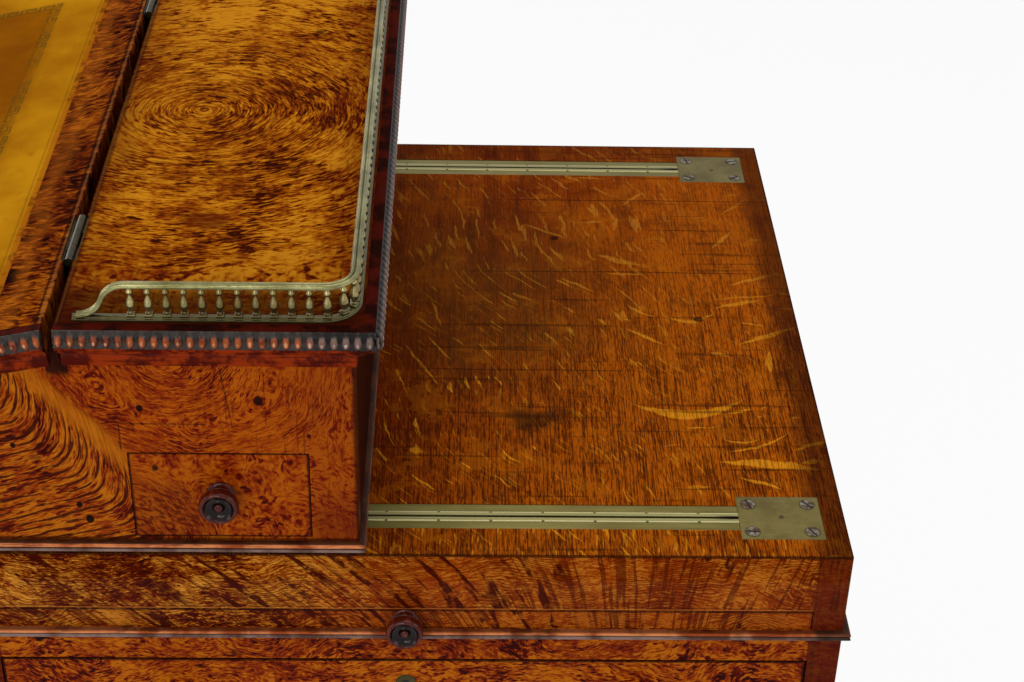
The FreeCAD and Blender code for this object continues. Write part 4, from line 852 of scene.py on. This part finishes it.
def bead_finish():
    """The carved bead: warm brown ovals with painted highlights on their crowns, dark grey hollows,
    a dull dark ledge.

    The run at the back is greyer, with a painted grey sheen and painted highlights on its beads.
    """
    finish = Finish("carved_bead")
    relief = finish.relief()
    wear = finish.noise(60, 3, 0.6)
    ripple = finish.noise(260, 1)
    crown = finish.mix(wear.step(0.40, 0.62), (150, 70, 26), (76, 22, 7))
    hollow = finish.mix(ripple, (74, 66, 60), (12, 8, 6))
    finish.base((relief + wear * 0.3 - 0.15).step(0.30, 0.80), hollow, crown)
    # painted highlight on the crowns of the beads
    rubbed = (relief + ripple * 0.30 - 0.15).step(0.90, 1.0)
    finish.paint((rubbed, 0.75, 214, 152, 112))
    # the run at the back: a painted grey sheen on the beads, near black between them, and a paler
    # painted highlight on the crowns
    grey = finish.mix(relief.step(0.2, 0.7), (14, 11, 10), (104, 90, 84))
    grey = finish.mix(rubbed, grey, (176, 168, 160))
    finish.paint((finish.y.step(0.092, 0.112), 0.8, grey))
    ledge = finish.mix(wear.step(0.4, 0.6), (66, 14, 5), (30, 6, 3))
    return finish.done(0.16 + wear * 0.12, finish.bump(ripple, 0.00025), specular=0.16,
                       under=(relief.step(-0.3, -0.7), ledge))


def cove_finish():
    """The cove under the bead: orange-red, streaked along its run, darker on the run along the
    back.
    """
    finish = Finish("cove_moulding")
    streak = finish.grain(26, 26, 420, 3, 0.6)
    cloud = finish.noise(46, 4, 0.7)
    finish.base(cloud.step(0.42, 0.58), (140, 44, 5), (74, 13, 3))
    finish.paint((streak.step(0.5, 0.66), 0.6, 40, 6, 3),
                 (finish.y.step(0.1255, 0.1275), 0.6, 44, 14, 8))
    return polished(finish, streak.step(0.5, 0.7))


# ------------------------------------------------------------------ finishes: metal and leather
def brass_finish(name, bright, dull, dark, shine=0.34, foot=None):
    """Old brass: olive where it is dull, brighter where it is rubbed, with dark specks.

    Below a height called foot it is browner and darker.
    """
    finish = Finish(name)
    cloud = finish.noise(30, 4, 0.6)
    brushed = finish.grain(300, 300, 300)
    specks = finish.cells(140).step(0.10, 0.05) * finish.noise(40).step(0.52, 0.6)
    finish.base(cloud.step(0.34, 0.68), bright, dull)
    finish.paint((brushed.step(0.5, 0.75), 0.35, *dark), (specks, 0.8, 40, 30, 14))
    if foot:
        grime = (finish.z - cloud * 0.001).step(foot + 0.0004, foot - 0.0006)
        finish.paint((grime, 0.72, 52, 42, 22))
    normal = finish.bump(cloud, 0.00025, finish.bump(brushed, 0.00004))
    return finish.done(shine + cloud * 0.16, normal, metallic=0.9)


def track_finish():
    """Brass of the tracks: brushed lengthwise, nicked at even steps beside the slot."""
    finish = Finish("track_brass")
    cloud = finish.grain(60, 12, 60, 3, 0.6)
    brushed = finish.grain(1400, 14, 900, 3, 0.6)
    across = abs(abs(finish.x) - TRACK_X * MM)
    pitch = abs(((finish.y + 0.004) / 0.032).fraction() - 0.5) * 0.032
    nick = pitch.step(0.0012, 0.0005) * across.between(0.0034, 0.0048, 0.0004)
    # painted shadow in the end of the slot by the plate
    slot_end_shadow = (across + finish.y * 0.05 - 0.3565 * 0.05).step(0.0022, 0.0008)
    finish.base(cloud.step(0.34, 0.68), (112, 102, 52), (92, 82, 36))
    finish.paint(
        # painted light on the rib along the middle of the track
        (across.step(0.0046, 0.0040), 0.75, 142, 134, 88),
        (brushed.step(0.46, 0.72), 0.45, 66, 56, 20),
        # painted highlight along the edges of the rib, then nicks
        (across.between(0.0038, 0.0044, 0.0003), 0.7, 206, 200, 152), (nick, 0.85, 34, 26, 10),
        (across.step(0.0112, 0.0119), 0.6, 52, 40, 16),
        (slot_end_shadow * finish.y.step(0.338, 0.354), 0.9, 12, 9, 5))
    return finish.done(0.32 + cloud * 0.14, finish.bump(brushed, 0.00005), metallic=0.9)


def plate_finish():
    """Brass of the end plates: duller, a dark ring round each screw and a spot in the middle."""
    finish = Finish("plate_brass")
    cloud = finish.noise(46, 4, 0.62)
    x, y = abs(finish.x) - TRACK_X * MM, finish.y - PLATE_Y * MM
    screw = distance(abs(x) - SCREW_X * MM, abs(y) - SCREW_Y * MM)
    rim = abs(x).step(0.0200, 0.0206).most(abs(y).step(0.0250, 0.0257))
    finish.base(cloud.step(0.32, 0.68), (100, 88, 44), (80, 68, 30))
    finish.paint((finish.grain(500, 90, 500).step(0.55, 0.75), 0.3, 120, 110, 68),
                 (screw.between(0.0040, 0.0050, 0.0004), 0.8, 44, 36, 16),
                 (distance(x + 0.001, y - 0.001).step(0.0021, 0.0012), 0.8, 48, 34, 12),
                 (rim, 0.6, 60, 48, 22))
    return finish.done(0.38 + cloud * 0.16, finish.bump(cloud, 0.0002), metallic=0.88)


def steel_finish():
    """Worn steel: grey, with brown staining, and dark in the slots of the plates' screws."""
    finish = Finish("worn_steel")
    cloud = finish.noise(320, 3)
    finish.base(cloud.step(0.36, 0.62), (112, 108, 94), (66, 44, 26))
    finish.paint((finish.z.between(0.6790, 0.68010, 0.00003), 0.9, 20, 16, 12))
    return finish.done(0.36 + cloud * 0.2, finish.bump(cloud, 0.0001), metallic=0.85)


def leather_finish():
    """Tooled hide: honey outside the key border, browner inside it.

    The border is drawn from the distance to the nearest edge of the sheet and from the run
    beside that edge: a sawtooth line near the edge, and a key pattern further in. Down is the
    distance from the hinge edge in the plane of the lid.
    """
    finish = Finish("tooled_leather")
    down = (LID_EDGE * MM - finish.y) * SLOPE_COS + (FLAT_TOP * MM - finish.z) * SLOPE_SIN
    x = finish.x
    to_side = LEATHER_HALF * MM - abs(x)
    to_end = (down - LEATHER_TOP * MM).least(LEATHER_FOOT * MM - down)
    gap = to_side.least(to_end)
    by_end = (to_side - to_end).step(0.0, 0.00001)
    beside = by_end * x + (1.0 - by_end) * down
    cloud = finish.noise(11, 4, 0.6).step(0.34, 0.66)
    scuff = finish.noise(60, 4, 0.7)
    dirt = finish.cells(70).step(0.10, 0.04) * finish.noise(24).step(0.5, 0.6)
    honey = finish.mix(cloud, (184, 126, 14), (150, 92, 7))
    inner = finish.mix(cloud, (146, 86, 3), (122, 66, 2))
    finish.base(gap.step(0.030, 0.046), honey, inner)
    # key pattern: a unit of 14 mm, drawn as lines 1.5 mm wide in a band 9 mm deep
    unit = (beside / 0.014).fraction() * 0.014
    depth = gap - 0.0365
    key = depth.near(0.0075) * unit.step(0.0118, 0.0114)
    for line in (depth.near(0.0008) * unit.step(0.0040, 0.0044),
                 unit.near(0.0010) * depth.between(0.0003, 0.0078, 0.0003),
                 unit.near(0.0112) * depth.between(0.0026, 0.0078, 0.0003),
                 depth.near(0.0030) * unit.between(0.0042, 0.0115, 0.0003),
                 unit.near(0.0045) * depth.between(0.0008, 0.0052, 0.0003)):
        key = key.most(line)
    key = key * depth.between(-0.0002, 0.0086, 0.0002)
    tooth = abs((beside / 0.0026).fraction() - 0.5) * 2
    saw = abs(gap - 0.0052 - tooth * 0.0016).step(0.0006, 0.0002)
    strip = gap.step(0.0046, 0.0036)
    finish.paint(
        (scuff.step(0.56, 0.74), 0.35, 120, 62, 8), (dirt, 0.5, 70, 34, 8),
        (key * finish.noise(46, 3).step(0.30, 0.56), 0.75, 84, 66, 16), (saw, 0.6, 110, 62, 12),
        (strip, 0.55, 150, 72, 12), (strip * scuff.step(0.5, 0.6), 0.6, 84, 34, 8))
    normal = finish.bump(key.most(saw) * -1 + 1, 0.00018)
    normal = finish.bump(finish.noise(240), 0.00012, normal)
    return finish.done(0.42 + scuff * 0.16, normal, specular=0.0008)


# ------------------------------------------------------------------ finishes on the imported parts
def dress(finish, *names):
    for name in names:
        for slot in nodes[name].material_slots:
            slot.material = finish


plain_oak = plain_oak_finish("unpolished_oak", (186, 138, 84), (150, 100, 54))
dull_brass = brass_finish("dull_brass", (80, 72, 38), (54, 46, 22), (26, 20, 10))
brass = brass_finish("old_brass", (122, 112, 66), (88, 78, 40), (56, 46, 20))
steel = steel_finish()
turned_wood = turned_finish()

dress(oak_top_finish(), "base_top")
dress(polished(*frieze_layers("curly_pollard_oak", 4.2)), "frieze_rails")
dress(polished(*frieze_layers("slide_pollard_oak", 6.4, (184, 112, 30))), "brushing_slide")
dress(carcase_finish("pollard_oak_carcase", 5.1), "waist_rail", "front_panel", "back_panel",
      "plinth", "left_side")
dress(carcase_finish("pollard_oak_dummies", 9.4, *(f"drawer_{index}_front" for index in DRAWERS)),
      "dummy_fronts")
for index in DRAWERS:
    front = f"drawer_{index}_front"
    dress(carcase_finish(f"pollard_oak_drawer_{index}", 6.3 + index, front), front)
    dress(plain_oak, f"drawer_{index}_box")
    dress(steel, f"drawer_{index}_lock")
dress(dust_board_finish(), "dust_boards")
dress(plain_oak, "box_bottom", "pen_drawer_box")
dress(plain_oak_finish("lining_wood", (132, 84, 46), (100, 58, 30), 0.5), "inner_fitting",
      "inner_drawer_right", "inner_drawer_left")
dress(box_side_finish(), "box_side_right", "box_side_left")
dress(dark_back_finish(), "box_back")
dress(carcase_finish("pollard_oak_box_front", 11.7), "box_front")
dress(flat_top_finish(), "box_flat_top")
dress(lid_finish(), "lid_panel")
dress(pen_front_finish(), "pen_drawer_front")
dress(brass, "box_runners")
dress(brass_finish("hinge_brass", (62, 54, 30), (40, 33, 18), (22, 17, 9)), "hinge_fixed_leaves",
      "hinge_moving_leaves")
dress(steel, "lid_lock", "lid_keeper")
dress(track_finish(), "slide_tracks")
dress(plate_finish(), "end_plates")

# ------------------------------------------------------------------ knobs and feet
# radius and height of a knob of radius 1: collar, neck, rounded head, and a dish with a button
KNOB = np.array([
    (0.66, 0.00), (0.70, 0.05), (0.70, 0.13), (0.60, 0.20), (0.47, 0.28), (0.43, 0.42),
    (0.50, 0.56), (0.72, 0.68), (0.92, 0.82), (0.99, 0.98), (0.99, 1.16), (0.95, 1.30),
    (0.87, 1.38), (0.79, 1.38), (0.72, 1.28), (0.62, 1.17), (0.48, 1.10), (0.34, 1.10),
    (0.26, 1.18), (0.20, 1.28), (0.11, 1.33), (0.03, 1.34)])
# radius and height of a foot
FOOT = ((21.8, 0), (26.5, 1.2), (32.5, 6), (36.2, 14), (36.9, 23), (34.6, 32.5), (30, 39.5),
        (26.5, 42.6), (25.6, 44.4), (27.4, 46), (27.6, 48.4), (25.6, 50.2), (24.4, 52),
        (24.2, 54.9))


def knob(surface, radius, towards, place):
    """A knob at a place on a face. The mark, 1 in the hollow of its face but for the button, is
    where its finish paints shade.
    """
    section = smooth_line(KNOB * radius, 3)
    reach, height = section.T / radius
    hollow = np.clip((0.80 - reach) / 0.1, 0, 1) * np.clip((reach - 0.14) / 0.1, 0, 1)
    mark = np.repeat((height > 0.95) * hollow, 36)
    return surface.grid(aimed(turning(section, 36), towards, place), mark=mark)


dummies = Surface()
for index in DRAWERS:
    low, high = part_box(f"drawer_{index}_knobs")
    height = (low.z + high.z) / 2 / MM
    pair = Surface()
    for y in (BASE_MIDDLE - KNOB_APART, BASE_MIDDLE + KNOB_APART):
        knob(pair, 16, "+X", (BASE_HALF, y, height))
        knob(dummies, 16, "-X", (-BASE_HALF, y, height))
    pair.piece(f"drawer_{index}_turned_knobs", turned_wood, f"drawer_{index}", "turned_wood",
               [f"drawer_{index}_knobs"])
dummies.piece("dummy_turned_knobs", turned_wood, "base", "turned_wood", ["dummy_knobs"])

for node, name, radius, body in (
        ("slide_knob", "slide_turned_knob", 11.6, "brushing_slide"),
        ("pen_drawer_knob", "pen_turned_knob", 11.8, "pen_drawer"),
        ("inner_drawer_right_knob", "inner_right_turned_knob", 6.5, "inner_drawer_right"),
        ("inner_drawer_left_knob", "inner_left_turned_knob", 6.5, "inner_drawer_left")):
    low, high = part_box(node)
    middle = (low + high) / 2 / MM
    inner = node.startswith("inner")
    place = (middle.x, high.y / MM, middle.z) if inner else (low.x / MM, middle.y, middle.z)
    knob(Surface(), radius, "-Y" if inner else "+X", place).piece(
        name, turned_wood, body, "turned_wood", [node])

feet = Surface()
for x in (-210.5, 210.5):
    for y in (-71.88, 376.12):
        feet.grid(aimed(turning(smooth_line(FOOT, 4), 48), "+Z", (x, y, 0)))
feet.piece("turned_bun_feet", turned_wood, "base", "turned_wood", ["bun_feet"])


# ------------------------------------------------------------------ reeded mouldings
def reed_section(out, low, middle, high):
    """Two half rounds, one over the other, on a flat back."""
    lower = half_round(low, middle - 0.1, 0.44 * out, out * 0.56, 12)
    upper = half_round(middle + 0.1, high, 0.44 * out, out * 0.56, 12)
    return np.concatenate([[(0, low)], lower, upper, [(0, high)]])


box_ring(reed_section(4.6, 615.9, 619.2, 621.4), BASE_HALF, BASE_FRONT, BASE_BACK).piece(
    "waist_double_reed", reed_finish("waist_reeds", 0.6159, 0.6192, 0.6220, 0.4030), "base",
    "moulding_wood", ["waist_moulding"], 50)
box_ring(reed_section(3.7, 680.45, 683.3, 687.4), BOX_HALF, BOX_FRONT, BOX_BACK).piece(
    "box_double_reed", reed_finish("box_reeds", 0.6804, 0.6833, 0.6874, 0.1265), "writing_box",
    "moulding_wood", ["box_base_moulding"], 50)

# ------------------------------------------------------------------ beaded cornices
NOSE = 13
BEAD_PITCH = 6.6
BEAD_TOP, BEAD_LOW = -0.1, -12
COVE_IN, COVE_OUT, COVE_LOW, COVE_RISE = 1.5, NOSE - 0.5, -29.7, 15.5


def cove_section():
    """Backing board, a quarter-round hollow and the ledge under the bead."""
    angle = np.linspace(0, math.pi / 2, 9)
    hollow = np.stack([COVE_IN + (COVE_OUT - COVE_IN) * (1 - np.cos(angle)),
                       COVE_LOW + COVE_RISE * np.sin(angle)], -1)
    return np.concatenate([[(0.05, -31.2), (COVE_IN, -31.2)], hollow,
                           [(COVE_OUT, -12.2), (6.2, -12.2), (6.2, -20), (0.05, -20)]])


def bead_section():
    """The strip that carries the bead: a flat back and a face of nine columns."""
    face = np.linspace(BEAD_TOP, BEAD_LOW, 9)
    return np.concatenate([np.stack([np.full(9, NOSE), face], -1),
                           [(6.05, BEAD_LOW), (6.05, BEAD_TOP), (NOSE - 0.6, BEAD_TOP)]])


def bead_relief(pitch, start):
    """How far the face swells, and its mark.

    The bed is a low half round with a fillet at each rim and a reel between two beads. A bead
    is an oval in every pitch, whose height is the root of 1 - (a / 0.375)^2 - (b / 0.80)^2.
    The mark is 1 on a bead, 0 on the bed and -1 on the flat ledge behind it.
    """
    def relief(t, u, v):
        b = (v - (BEAD_TOP + BEAD_LOW) / 2) / ((BEAD_TOP - BEAD_LOW) / 2)
        a = (t - start) / pitch - np.floor((t - start) / pitch) - 0.5
        oval = np.sqrt(np.clip(1 - (a / 0.375) ** 2 - (b / 0.80) ** 2, 0, 1))
        rim = np.clip(1 - np.abs(np.abs(b) - 0.92) / 0.16, 0, 1)
        reel = np.clip(1 - (0.5 - np.abs(a)) / 0.12, 0, 1) * np.clip(1 - b ** 2, 0, 1)
        face = (u > NOSE - 0.5) * 1.0
        bed = 0.6 * np.sqrt(np.clip(1 - b ** 2, 0, 1)) + 0.8 * rim + 0.9 * reel
        mark = face * np.clip(oval + 0.2 * reel, 0, 1) - (1 - face)
        return face * (bed + 3.8 * oval), mark
    return relief


def cornice(name, body, edge, along, normal, length, sheer):
    """Bead and cove of a cornice: two side runs and one end run, mitred together.

    The side runs start at the hinge edge, plumb: a point at height v starts at -v times sheer.
    """
    across = np.array([1.0, 0, 0])
    origin, along = np.array([0, edge, FLAT_TOP]), np.array(along)
    bead, cove = Surface(), Surface()
    for section, surface in ((cove_section(), cove), (bead_section(), bead)):
        u, v = section.T
        beads = surface is bead
        reach = np.where(u > NOSE - 0.5, NOSE + 2, u) if beads else u
        for place, forward, outward, low, high, start in (
                (BOX_HALF * across, along, across, -v * sheer, length, 0),
                (-BOX_HALF * across, along, -across, -v * sheer, length, 0),
                (along * length - BOX_HALF * across, across, along, -reach, 2 * BOX_HALF, NOSE)):
            span = high + NOSE + start
            count = round(span / BEAD_PITCH)
            pitch = span / count
            stations = (np.arange(count * 8) / 8 + 1 / 16) * pitch - start
            run(surface, section, origin + place, forward, outward, normal, low, high + reach,
                stations if beads else (), bead_relief(pitch, -start) if beads else None)
    bead.piece(f"{name}_bead", bead_wood, body, "moulding_wood", [f"{name}_cornice"], 70)
    cove.piece(f"{name}_cove", cove_wood, body, "moulding_wood", (), 50)


bead_wood, cove_wood = bead_finish(), cove_finish()
cornice("flat_top", "writing_box", FLAT_EDGE, (0.0, 1, 0), (0, 0, 1), BOX_BACK - FLAT_EDGE, 0.0)
cornice("lid", "lid", LID_EDGE, (0, -SLOPE_COS, -SLOPE_SIN), (0, -SLOPE_SIN, SLOPE_COS),
        (LID_EDGE - BOX_FRONT + 33 * SLOPE_SIN + 0.3) / SLOPE_COS, math.tan(SLOPE))


# ------------------------------------------------------------------ gallery
def gallery_plan(y_start):
    """Plan of the gallery from the right front end round the back, and its outward normals."""
    quarter = np.linspace(0, math.pi / 2, 9)
    bend, half = GALLERY_BEND, GALLERY_HALF
    right = np.stack([half - bend + bend * np.cos(quarter),
                      GALLERY_BACK - bend + bend * np.sin(quarter)], -1)
    plan = np.concatenate([[(half, y_start)], right, right[::-1] * (-1, 1), [(-half, y_start)]])
    angle = np.concatenate([[0], quarter, math.pi / 2 + quarter, [math.pi]])
    return plan, np.stack([np.cos(angle), np.sin(angle), 0 * angle], -1)


def top_rail_path():
    """The top rail: an ogee up from each tip, then level round the plan.

    The ogee is two equal arcs, level at both ends, with the bend (l^2 + h^2) / 4h.
    """
    plan, normals = gallery_plan(GALLERY_LEVEL)
    start, low, high = GALLERY_TIP + 2.2, FLAT_TOP + 2.4, FLAT_TOP + 22.3
    reach, fall = GALLERY_LEVEL - start, high - low
    bend = (reach ** 2 + fall ** 2) / (4 * fall)
    angle = np.linspace(0, math.asin(reach / 2 / bend), 9)
    forward, lift = bend * np.sin(angle), bend * (1 - np.cos(angle))
    first = np.stack([start + forward, low + lift], -1)
    second = np.stack([GALLERY_LEVEL - forward[::-1], high - lift[::-1]], -1)
    ogee = np.concatenate([first, second[1:-1]])
    level = np.concatenate([plan, np.full((len(plan), 1), high)], 1)
    right = np.concatenate([np.full((len(ogee), 1), GALLERY_HALF), ogee], 1)
    outward = np.tile([1.0, 0, 0], (len(right), 1))
    return (np.concatenate([right, level, right[::-1] * (-1, 1, 1)]),
            np.concatenate([outward, normals, -outward]))


def top_rail_section():
    """Flat under side, a fillet on each side and two reeds on top with a groove between."""
    angle = np.linspace(0, math.pi, 7)
    reed_right = np.stack([1.2 + 1.1 * np.cos(angle), 0.1 + 1.2 * np.sin(angle)], -1)
    return np.concatenate([[(-2.3, -1.6), (2.3, -1.6), (2.7, -1.2), (2.7, -0.5), (2.35, -0.2)],
                           reed_right, reed_right - (2.4, 0),
                           [(-2.35, -0.2), (-2.7, -0.5), (-2.7, -1.2)]])


def bottom_rail_section():
    """A stepped strip: a flat foot and a narrower round over it."""
    angle = np.linspace(0, math.pi, 7)
    upper = np.stack([2.3 * np.cos(angle), 1.35 + 1.1 * np.sin(angle)], -1)
    return np.concatenate([[(-3.45, 0.03), (3.45, 0.03), (3.45, 0.9), (3.1, 1.2), (2.5, 1.2)],
                           upper, [(-2.5, 1.2), (-3.1, 1.2), (-3.45, 0.9)]])


rails = Surface()
rails.grid(tube(top_rail_section(), *top_rail_path()))
plan, side = gallery_plan(GALLERY_TIP)
path = np.concatenate([plan, np.full((len(plan), 1), float(FLAT_TOP))], 1)
rails.grid(tube(bottom_rail_section(), path, side))
rails.piece(
    "gallery_reeded_rails",
    brass_finish("gallery_brass", (136, 132, 90), (92, 88, 52), (46, 42, 22), 0.24, 0.8488),
    "writing_box", "old_brass", ["gallery_rails"], 40)

VASE = ((1.8, 1.3), (1.9, 1.8), (1.2, 2.4), (1.05, 3), (1.9, 4.5), (2.7, 6.4), (2.75, 7.4),
        (2.1, 9.6), (1.25, 11.8), (0.95, 13.2), (1.2, 14), (2.15, 14.7), (2.2, 15.6), (1.5, 16.4),
        (1.3, 18.4))
# half width and height of the square foot of a baluster
SQUARE_FOOT = ((2.3, 0), (2.3, 0.9), (1.8, 1.4))


def baluster_places():
    """Places and turns of the balusters: even runs along the sides and back, two per corner."""
    bend, half = GALLERY_BEND, GALLERY_HALF - GALLERY_BEND
    places = [(s * GALLERY_HALF, y, 0) for s in (1, -1) for y in 3.9 + 9.79 * np.arange(12)]
    for s in (1, -1):
        for a in map(math.radians, (40, 72)):
            places.append((s * (half + bend * math.cos(a)),
                           GALLERY_BACK - bend + bend * math.sin(a), s * a))
    count = round(2 * half / 9.6)
    return places + [(x, GALLERY_BACK, 0) for x in np.linspace(-half, half, count + 1)]


balusters = Surface()
vase = turning(smooth_line(VASE, 1), 12)
square = np.array([(-1, -1), (1, -1), (1, 1), (-1, 1)], float)
foot = np.stack([np.concatenate([square * size, np.full((4, 1), float(height))], 1)
                 for size, height in SQUARE_FOOT])
for x, y, angle in baluster_places():
    c, s = math.cos(angle), math.sin(angle)
    turn = np.array([(c, -s, 0), (s, c, 0), (0, 0, 1)])
    for part in (vase, foot):
        balusters.grid(part @ turn.T + (x, y, FLAT_TOP + 2.4))
balusters.piece(
    "gallery_vase_balusters",
    brass_finish("baluster_brass", (160, 148, 100), (104, 88, 50), (46, 36, 18), 0.22, 0.8510),
    "writing_box", "old_brass", ["gallery_balusters"], 50)


# ------------------------------------------------------------------ screws and escutcheons
def slotted_head(radius, rise, slot, slot_depth, turn):
    """A low domed screw head whose rows run along its slot.

    Row y is radius sin a, and its columns go from -x to x with x = radius cos a. The height is
    rise (1 - 0.35 r^2 / radius^2), less the depth of the slot where y is inside it.
    """
    edge = slot / radius
    half = np.array([edge, edge * 1.02, 0.5, 0.78, 0.94, 1])
    a = np.arcsin(np.concatenate([-half[::-1], half]))[:, None]
    y = radius * np.sin(a)
    x = radius * np.cos(a) * np.linspace(-1, 1, 13)
    inside = np.abs(y) <= slot * 1.001
    z = rise * (1 - 0.35 * (x ** 2 + y ** 2) / radius ** 2) - slot_depth * inside
    c, s = math.cos(turn), math.sin(turn)
    top = np.stack([c * x - s * y, s * x + c * y, z], -1)
    under = np.stack([*np.moveaxis(top[..., :2], -1, 0), np.full_like(z, -0.6)], -1)
    return np.concatenate([top, under[:, ::-1]], 1)


screws = Surface()
turns = iter((1.45, 0.55, 0.35, 0.7, 1.1, 2.3, 0.2, 1.9))
for middle in (TRACK_X, -TRACK_X):
    for x in (middle + SCREW_X, middle - SCREW_X):
        for y in (PLATE_Y - SCREW_Y, PLATE_Y + SCREW_Y):
            screws.grid(slotted_head(4.4, 0.20, 0.62, 0.12, next(turns)) + (x, y, TOP))
screws.piece("plate_slotted_screws", steel, "base", "steel", (), 30)


def keyhole(name, body, metal, place, towards="+X"):
    """A brass ring whose inside is a keyhole, a round of 2.3 mm over a slot 2 mm wide, and a
    dark disc behind it, so that the keyhole looks deep.

    The inside is the larger of the circle's radius and the slot's reach, 1 / |cos a| from its
    axis, below the middle.
    """
    angle = np.arange(48) * TURN / 48
    slot = np.where(-np.sin(angle) > 0.2,
                    np.minimum(1 / np.maximum(np.abs(np.cos(angle)), 0.12), 4.6), 0)
    inner, outer = np.maximum(2.3, slot), np.full(48, 6.4)
    ring = [(inner, 0.05), (inner, 0.42), (inner + (outer - inner) * 0.25, 0.5),
            (inner + (outer - inner) * 0.8, 0.5), (outer, 0.3), (outer, 0.05)]
    points = np.stack([np.stack([-radius * np.sin(angle), radius * np.cos(angle),
                                 np.full(48, height)], -1) for radius, height in ring], 1)
    Surface().grid(aimed(points, towards, place), closed=True).piece(
        f"{name}_escutcheon", metal, body, "old_brass")
    Surface().grid(aimed(turning([(5.6, 0), (5.6, 0.1)], 24), towards, place)).piece(
        f"{name}_keyhole", shadow, body, "steel")


shadow = Finish("keyhole_shadow", tint(10, 7, 5)).done(0.9)
for index, height in zip(DRAWERS, DRAWER_KEYHOLES):
    keyhole(f"drawer_{index}", f"drawer_{index}", dull_brass, (BASE_HALF, BASE_MIDDLE, height))
keyhole("lid", "writing_box", brass, (0, BOX_FRONT, LID_KEYHOLE), "-Y")

# ------------------------------------------------------------------ writing leather
# The hide is a sheet in the lid's recess, flat with a soft fall at its edges. A place in the lid's
# plane is hinge edge + s down the slope + n along the normal, and n is -0.28 less
# 0.45 (1 - e / 1.2)^2 at less than e = 1.2 mm from an edge, plus slow waves of 0.06 mm.
columns = np.concatenate([[-1, -0.9988, -0.9965], np.linspace(-0.99, 0.99, 61),
                          [0.9965, 0.9988, 1]]) * LEATHER_HALF
rows = np.concatenate([[0, 0.3, 1], np.linspace(2.5, 315.6, 49), [317.1, 317.8, LEATHER_LONG]])
rows = rows[:, None]
s = LEATHER_TOP + rows + 0 * columns
x = columns + 0 * s
edge = np.minimum(LEATHER_HALF - np.abs(x), np.minimum(rows, LEATHER_LONG - rows))
n = -0.28 - 0.45 * np.clip(1 - edge / 1.2, 0, 1) ** 2 + 0.06 * np.sin(x / 37) * np.sin(s / 29)
up = np.array([0, -SLOPE_SIN, SLOPE_COS])
top = (0, LID_EDGE, FLAT_TOP) + s[..., None] * (0, -SLOPE_COS, -SLOPE_SIN) + n[..., None] * up
top[..., 0] = x
sheet = Surface().grid(np.concatenate([top[:, ::-1], top - 0.35 * up], 1)).piece(
    "tooled_writing_leather", leather_finish(), "lid", "hide", ["lid_leather"], 60)

# ------------------------------------------------------------------ camera, light and floor
scene = bpy.context.scene
EYE = Vector((1.160170, 0.186541, 1.447484))
FOCAL_PIXELS, PICTURE_PIXELS, SENSOR = 1970.246, 1024, 36.0
yaw, pitch, roll = (math.radians(v) for v in (1.691, 34.112, 1.457))
ahead = Vector((-math.cos(pitch) * math.cos(yaw), math.cos(pitch) * math.sin(yaw),
                -math.sin(pitch)))
level = Vector((math.sin(yaw), math.cos(yaw), 0))
above = level.cross(ahead)
across = math.cos(roll) * level + math.sin(roll) * above
upward = -math.sin(roll) * level + math.cos(roll) * above
camera_data = bpy.data.cameras.new("camera")
camera_data.sensor_width = SENSOR
camera_data.lens = FOCAL_PIXELS / PICTURE_PIXELS * SENSOR
camera_data.clip_end = 50.0
camera = bpy.data.objects.new("camera", camera_data)
camera.matrix_world = Matrix((*zip(across, upward, -ahead, EYE), (0, 0, 0, 1)))
scene.collection.objects.link(camera)
scene.camera = camera

# name, place, target, width and depth, and power of each lamp
for name, place, target, size, power in (
        ("lamp_over", (-0.3, 0.5, 2.9), (0, 0.1, 0.6), (2.4, 2.0), 26),
        ("lamp_right", (2.6, -0.9, 2.0), (0.1, 0.1, 0.6), (1.6, 1.6), 25),
        ("lamp_back", (0.9, 2.7, 1.9), (0, 0.2, 0.6), (1.8, 1.2), 14),
        ("lamp_left", (-2.3, -2.0, 1.1), (0, 0, 0.5), (1.6, 1.2), 16),
        ("lamp_front", (0.2, -2.8, 1.5), (0, 0, 0.5), (1.8, 1.4), 18),
        ("lamp_spark", (2.5, -0.1, 1.55), (0.1, 0.1, 0.7), (0.36, 0.36), 6)):
    light = bpy.data.lights.new(name, "AREA")
    light.shape = "RECTANGLE"
    light.size, light.size_y = size
    light.energy = power
    lamp = bpy.data.objects.new(name, light)
    lamp.location = place
    lamp.rotation_euler = (Vector(target) - Vector(place)).to_track_quat("-Z", "Y").to_euler()
    scene.collection.objects.link(lamp)

world = bpy.data.worlds.new("studio")
scene.world = world
world.use_nodes = True
sky = Nodes(world.node_tree)
dim = sky.node("ShaderNodeBackground", values={0: (0.95, 0.97, 1.0, 1), 1: 0.4})
white = sky.node("ShaderNodeBackground", values={0: (1, 1, 1, 1), 1: 1.0})
shown = sky.rays("Camera", "Transmission", "Glossy")
blend = sky.node("ShaderNodeMixShader", values={0: shown, 1: dim, 2: white})
sky.node("ShaderNodeOutputWorld", values={0: blend}, output=None)

floor_mesh = bpy.data.meshes.new("floor")
floor_mesh.from_pydata([(-6, -6, 0), (6, -6, 0), (6, 6, 0), (-6, 6, 0)], [], [(0, 1, 2, 3)])
floor = bpy.data.objects.new("floor", floor_mesh)
scene.collection.objects.link(floor)
ground = Finish("pale_floor")
lit = ground.node("ShaderNodeBsdfDiffuse", values={"Color": (0.86, 0.86, 0.85, 1)})
glow = ground.node("ShaderNodeEmission", values={"Color": (1, 1, 1, 1), "Strength": 1.0})
bright = ground.rays("Camera", "Glossy") * 0.9
both = ground.node("ShaderNodeMixShader", values={0: bright, 1: lit, 2: glow})
ground.node("ShaderNodeOutputMaterial", values={0: both}, output=None)
floor_mesh.materials.append(ground.material)

scene.view_settings.view_transform = "Standard"

low, high = packed_box
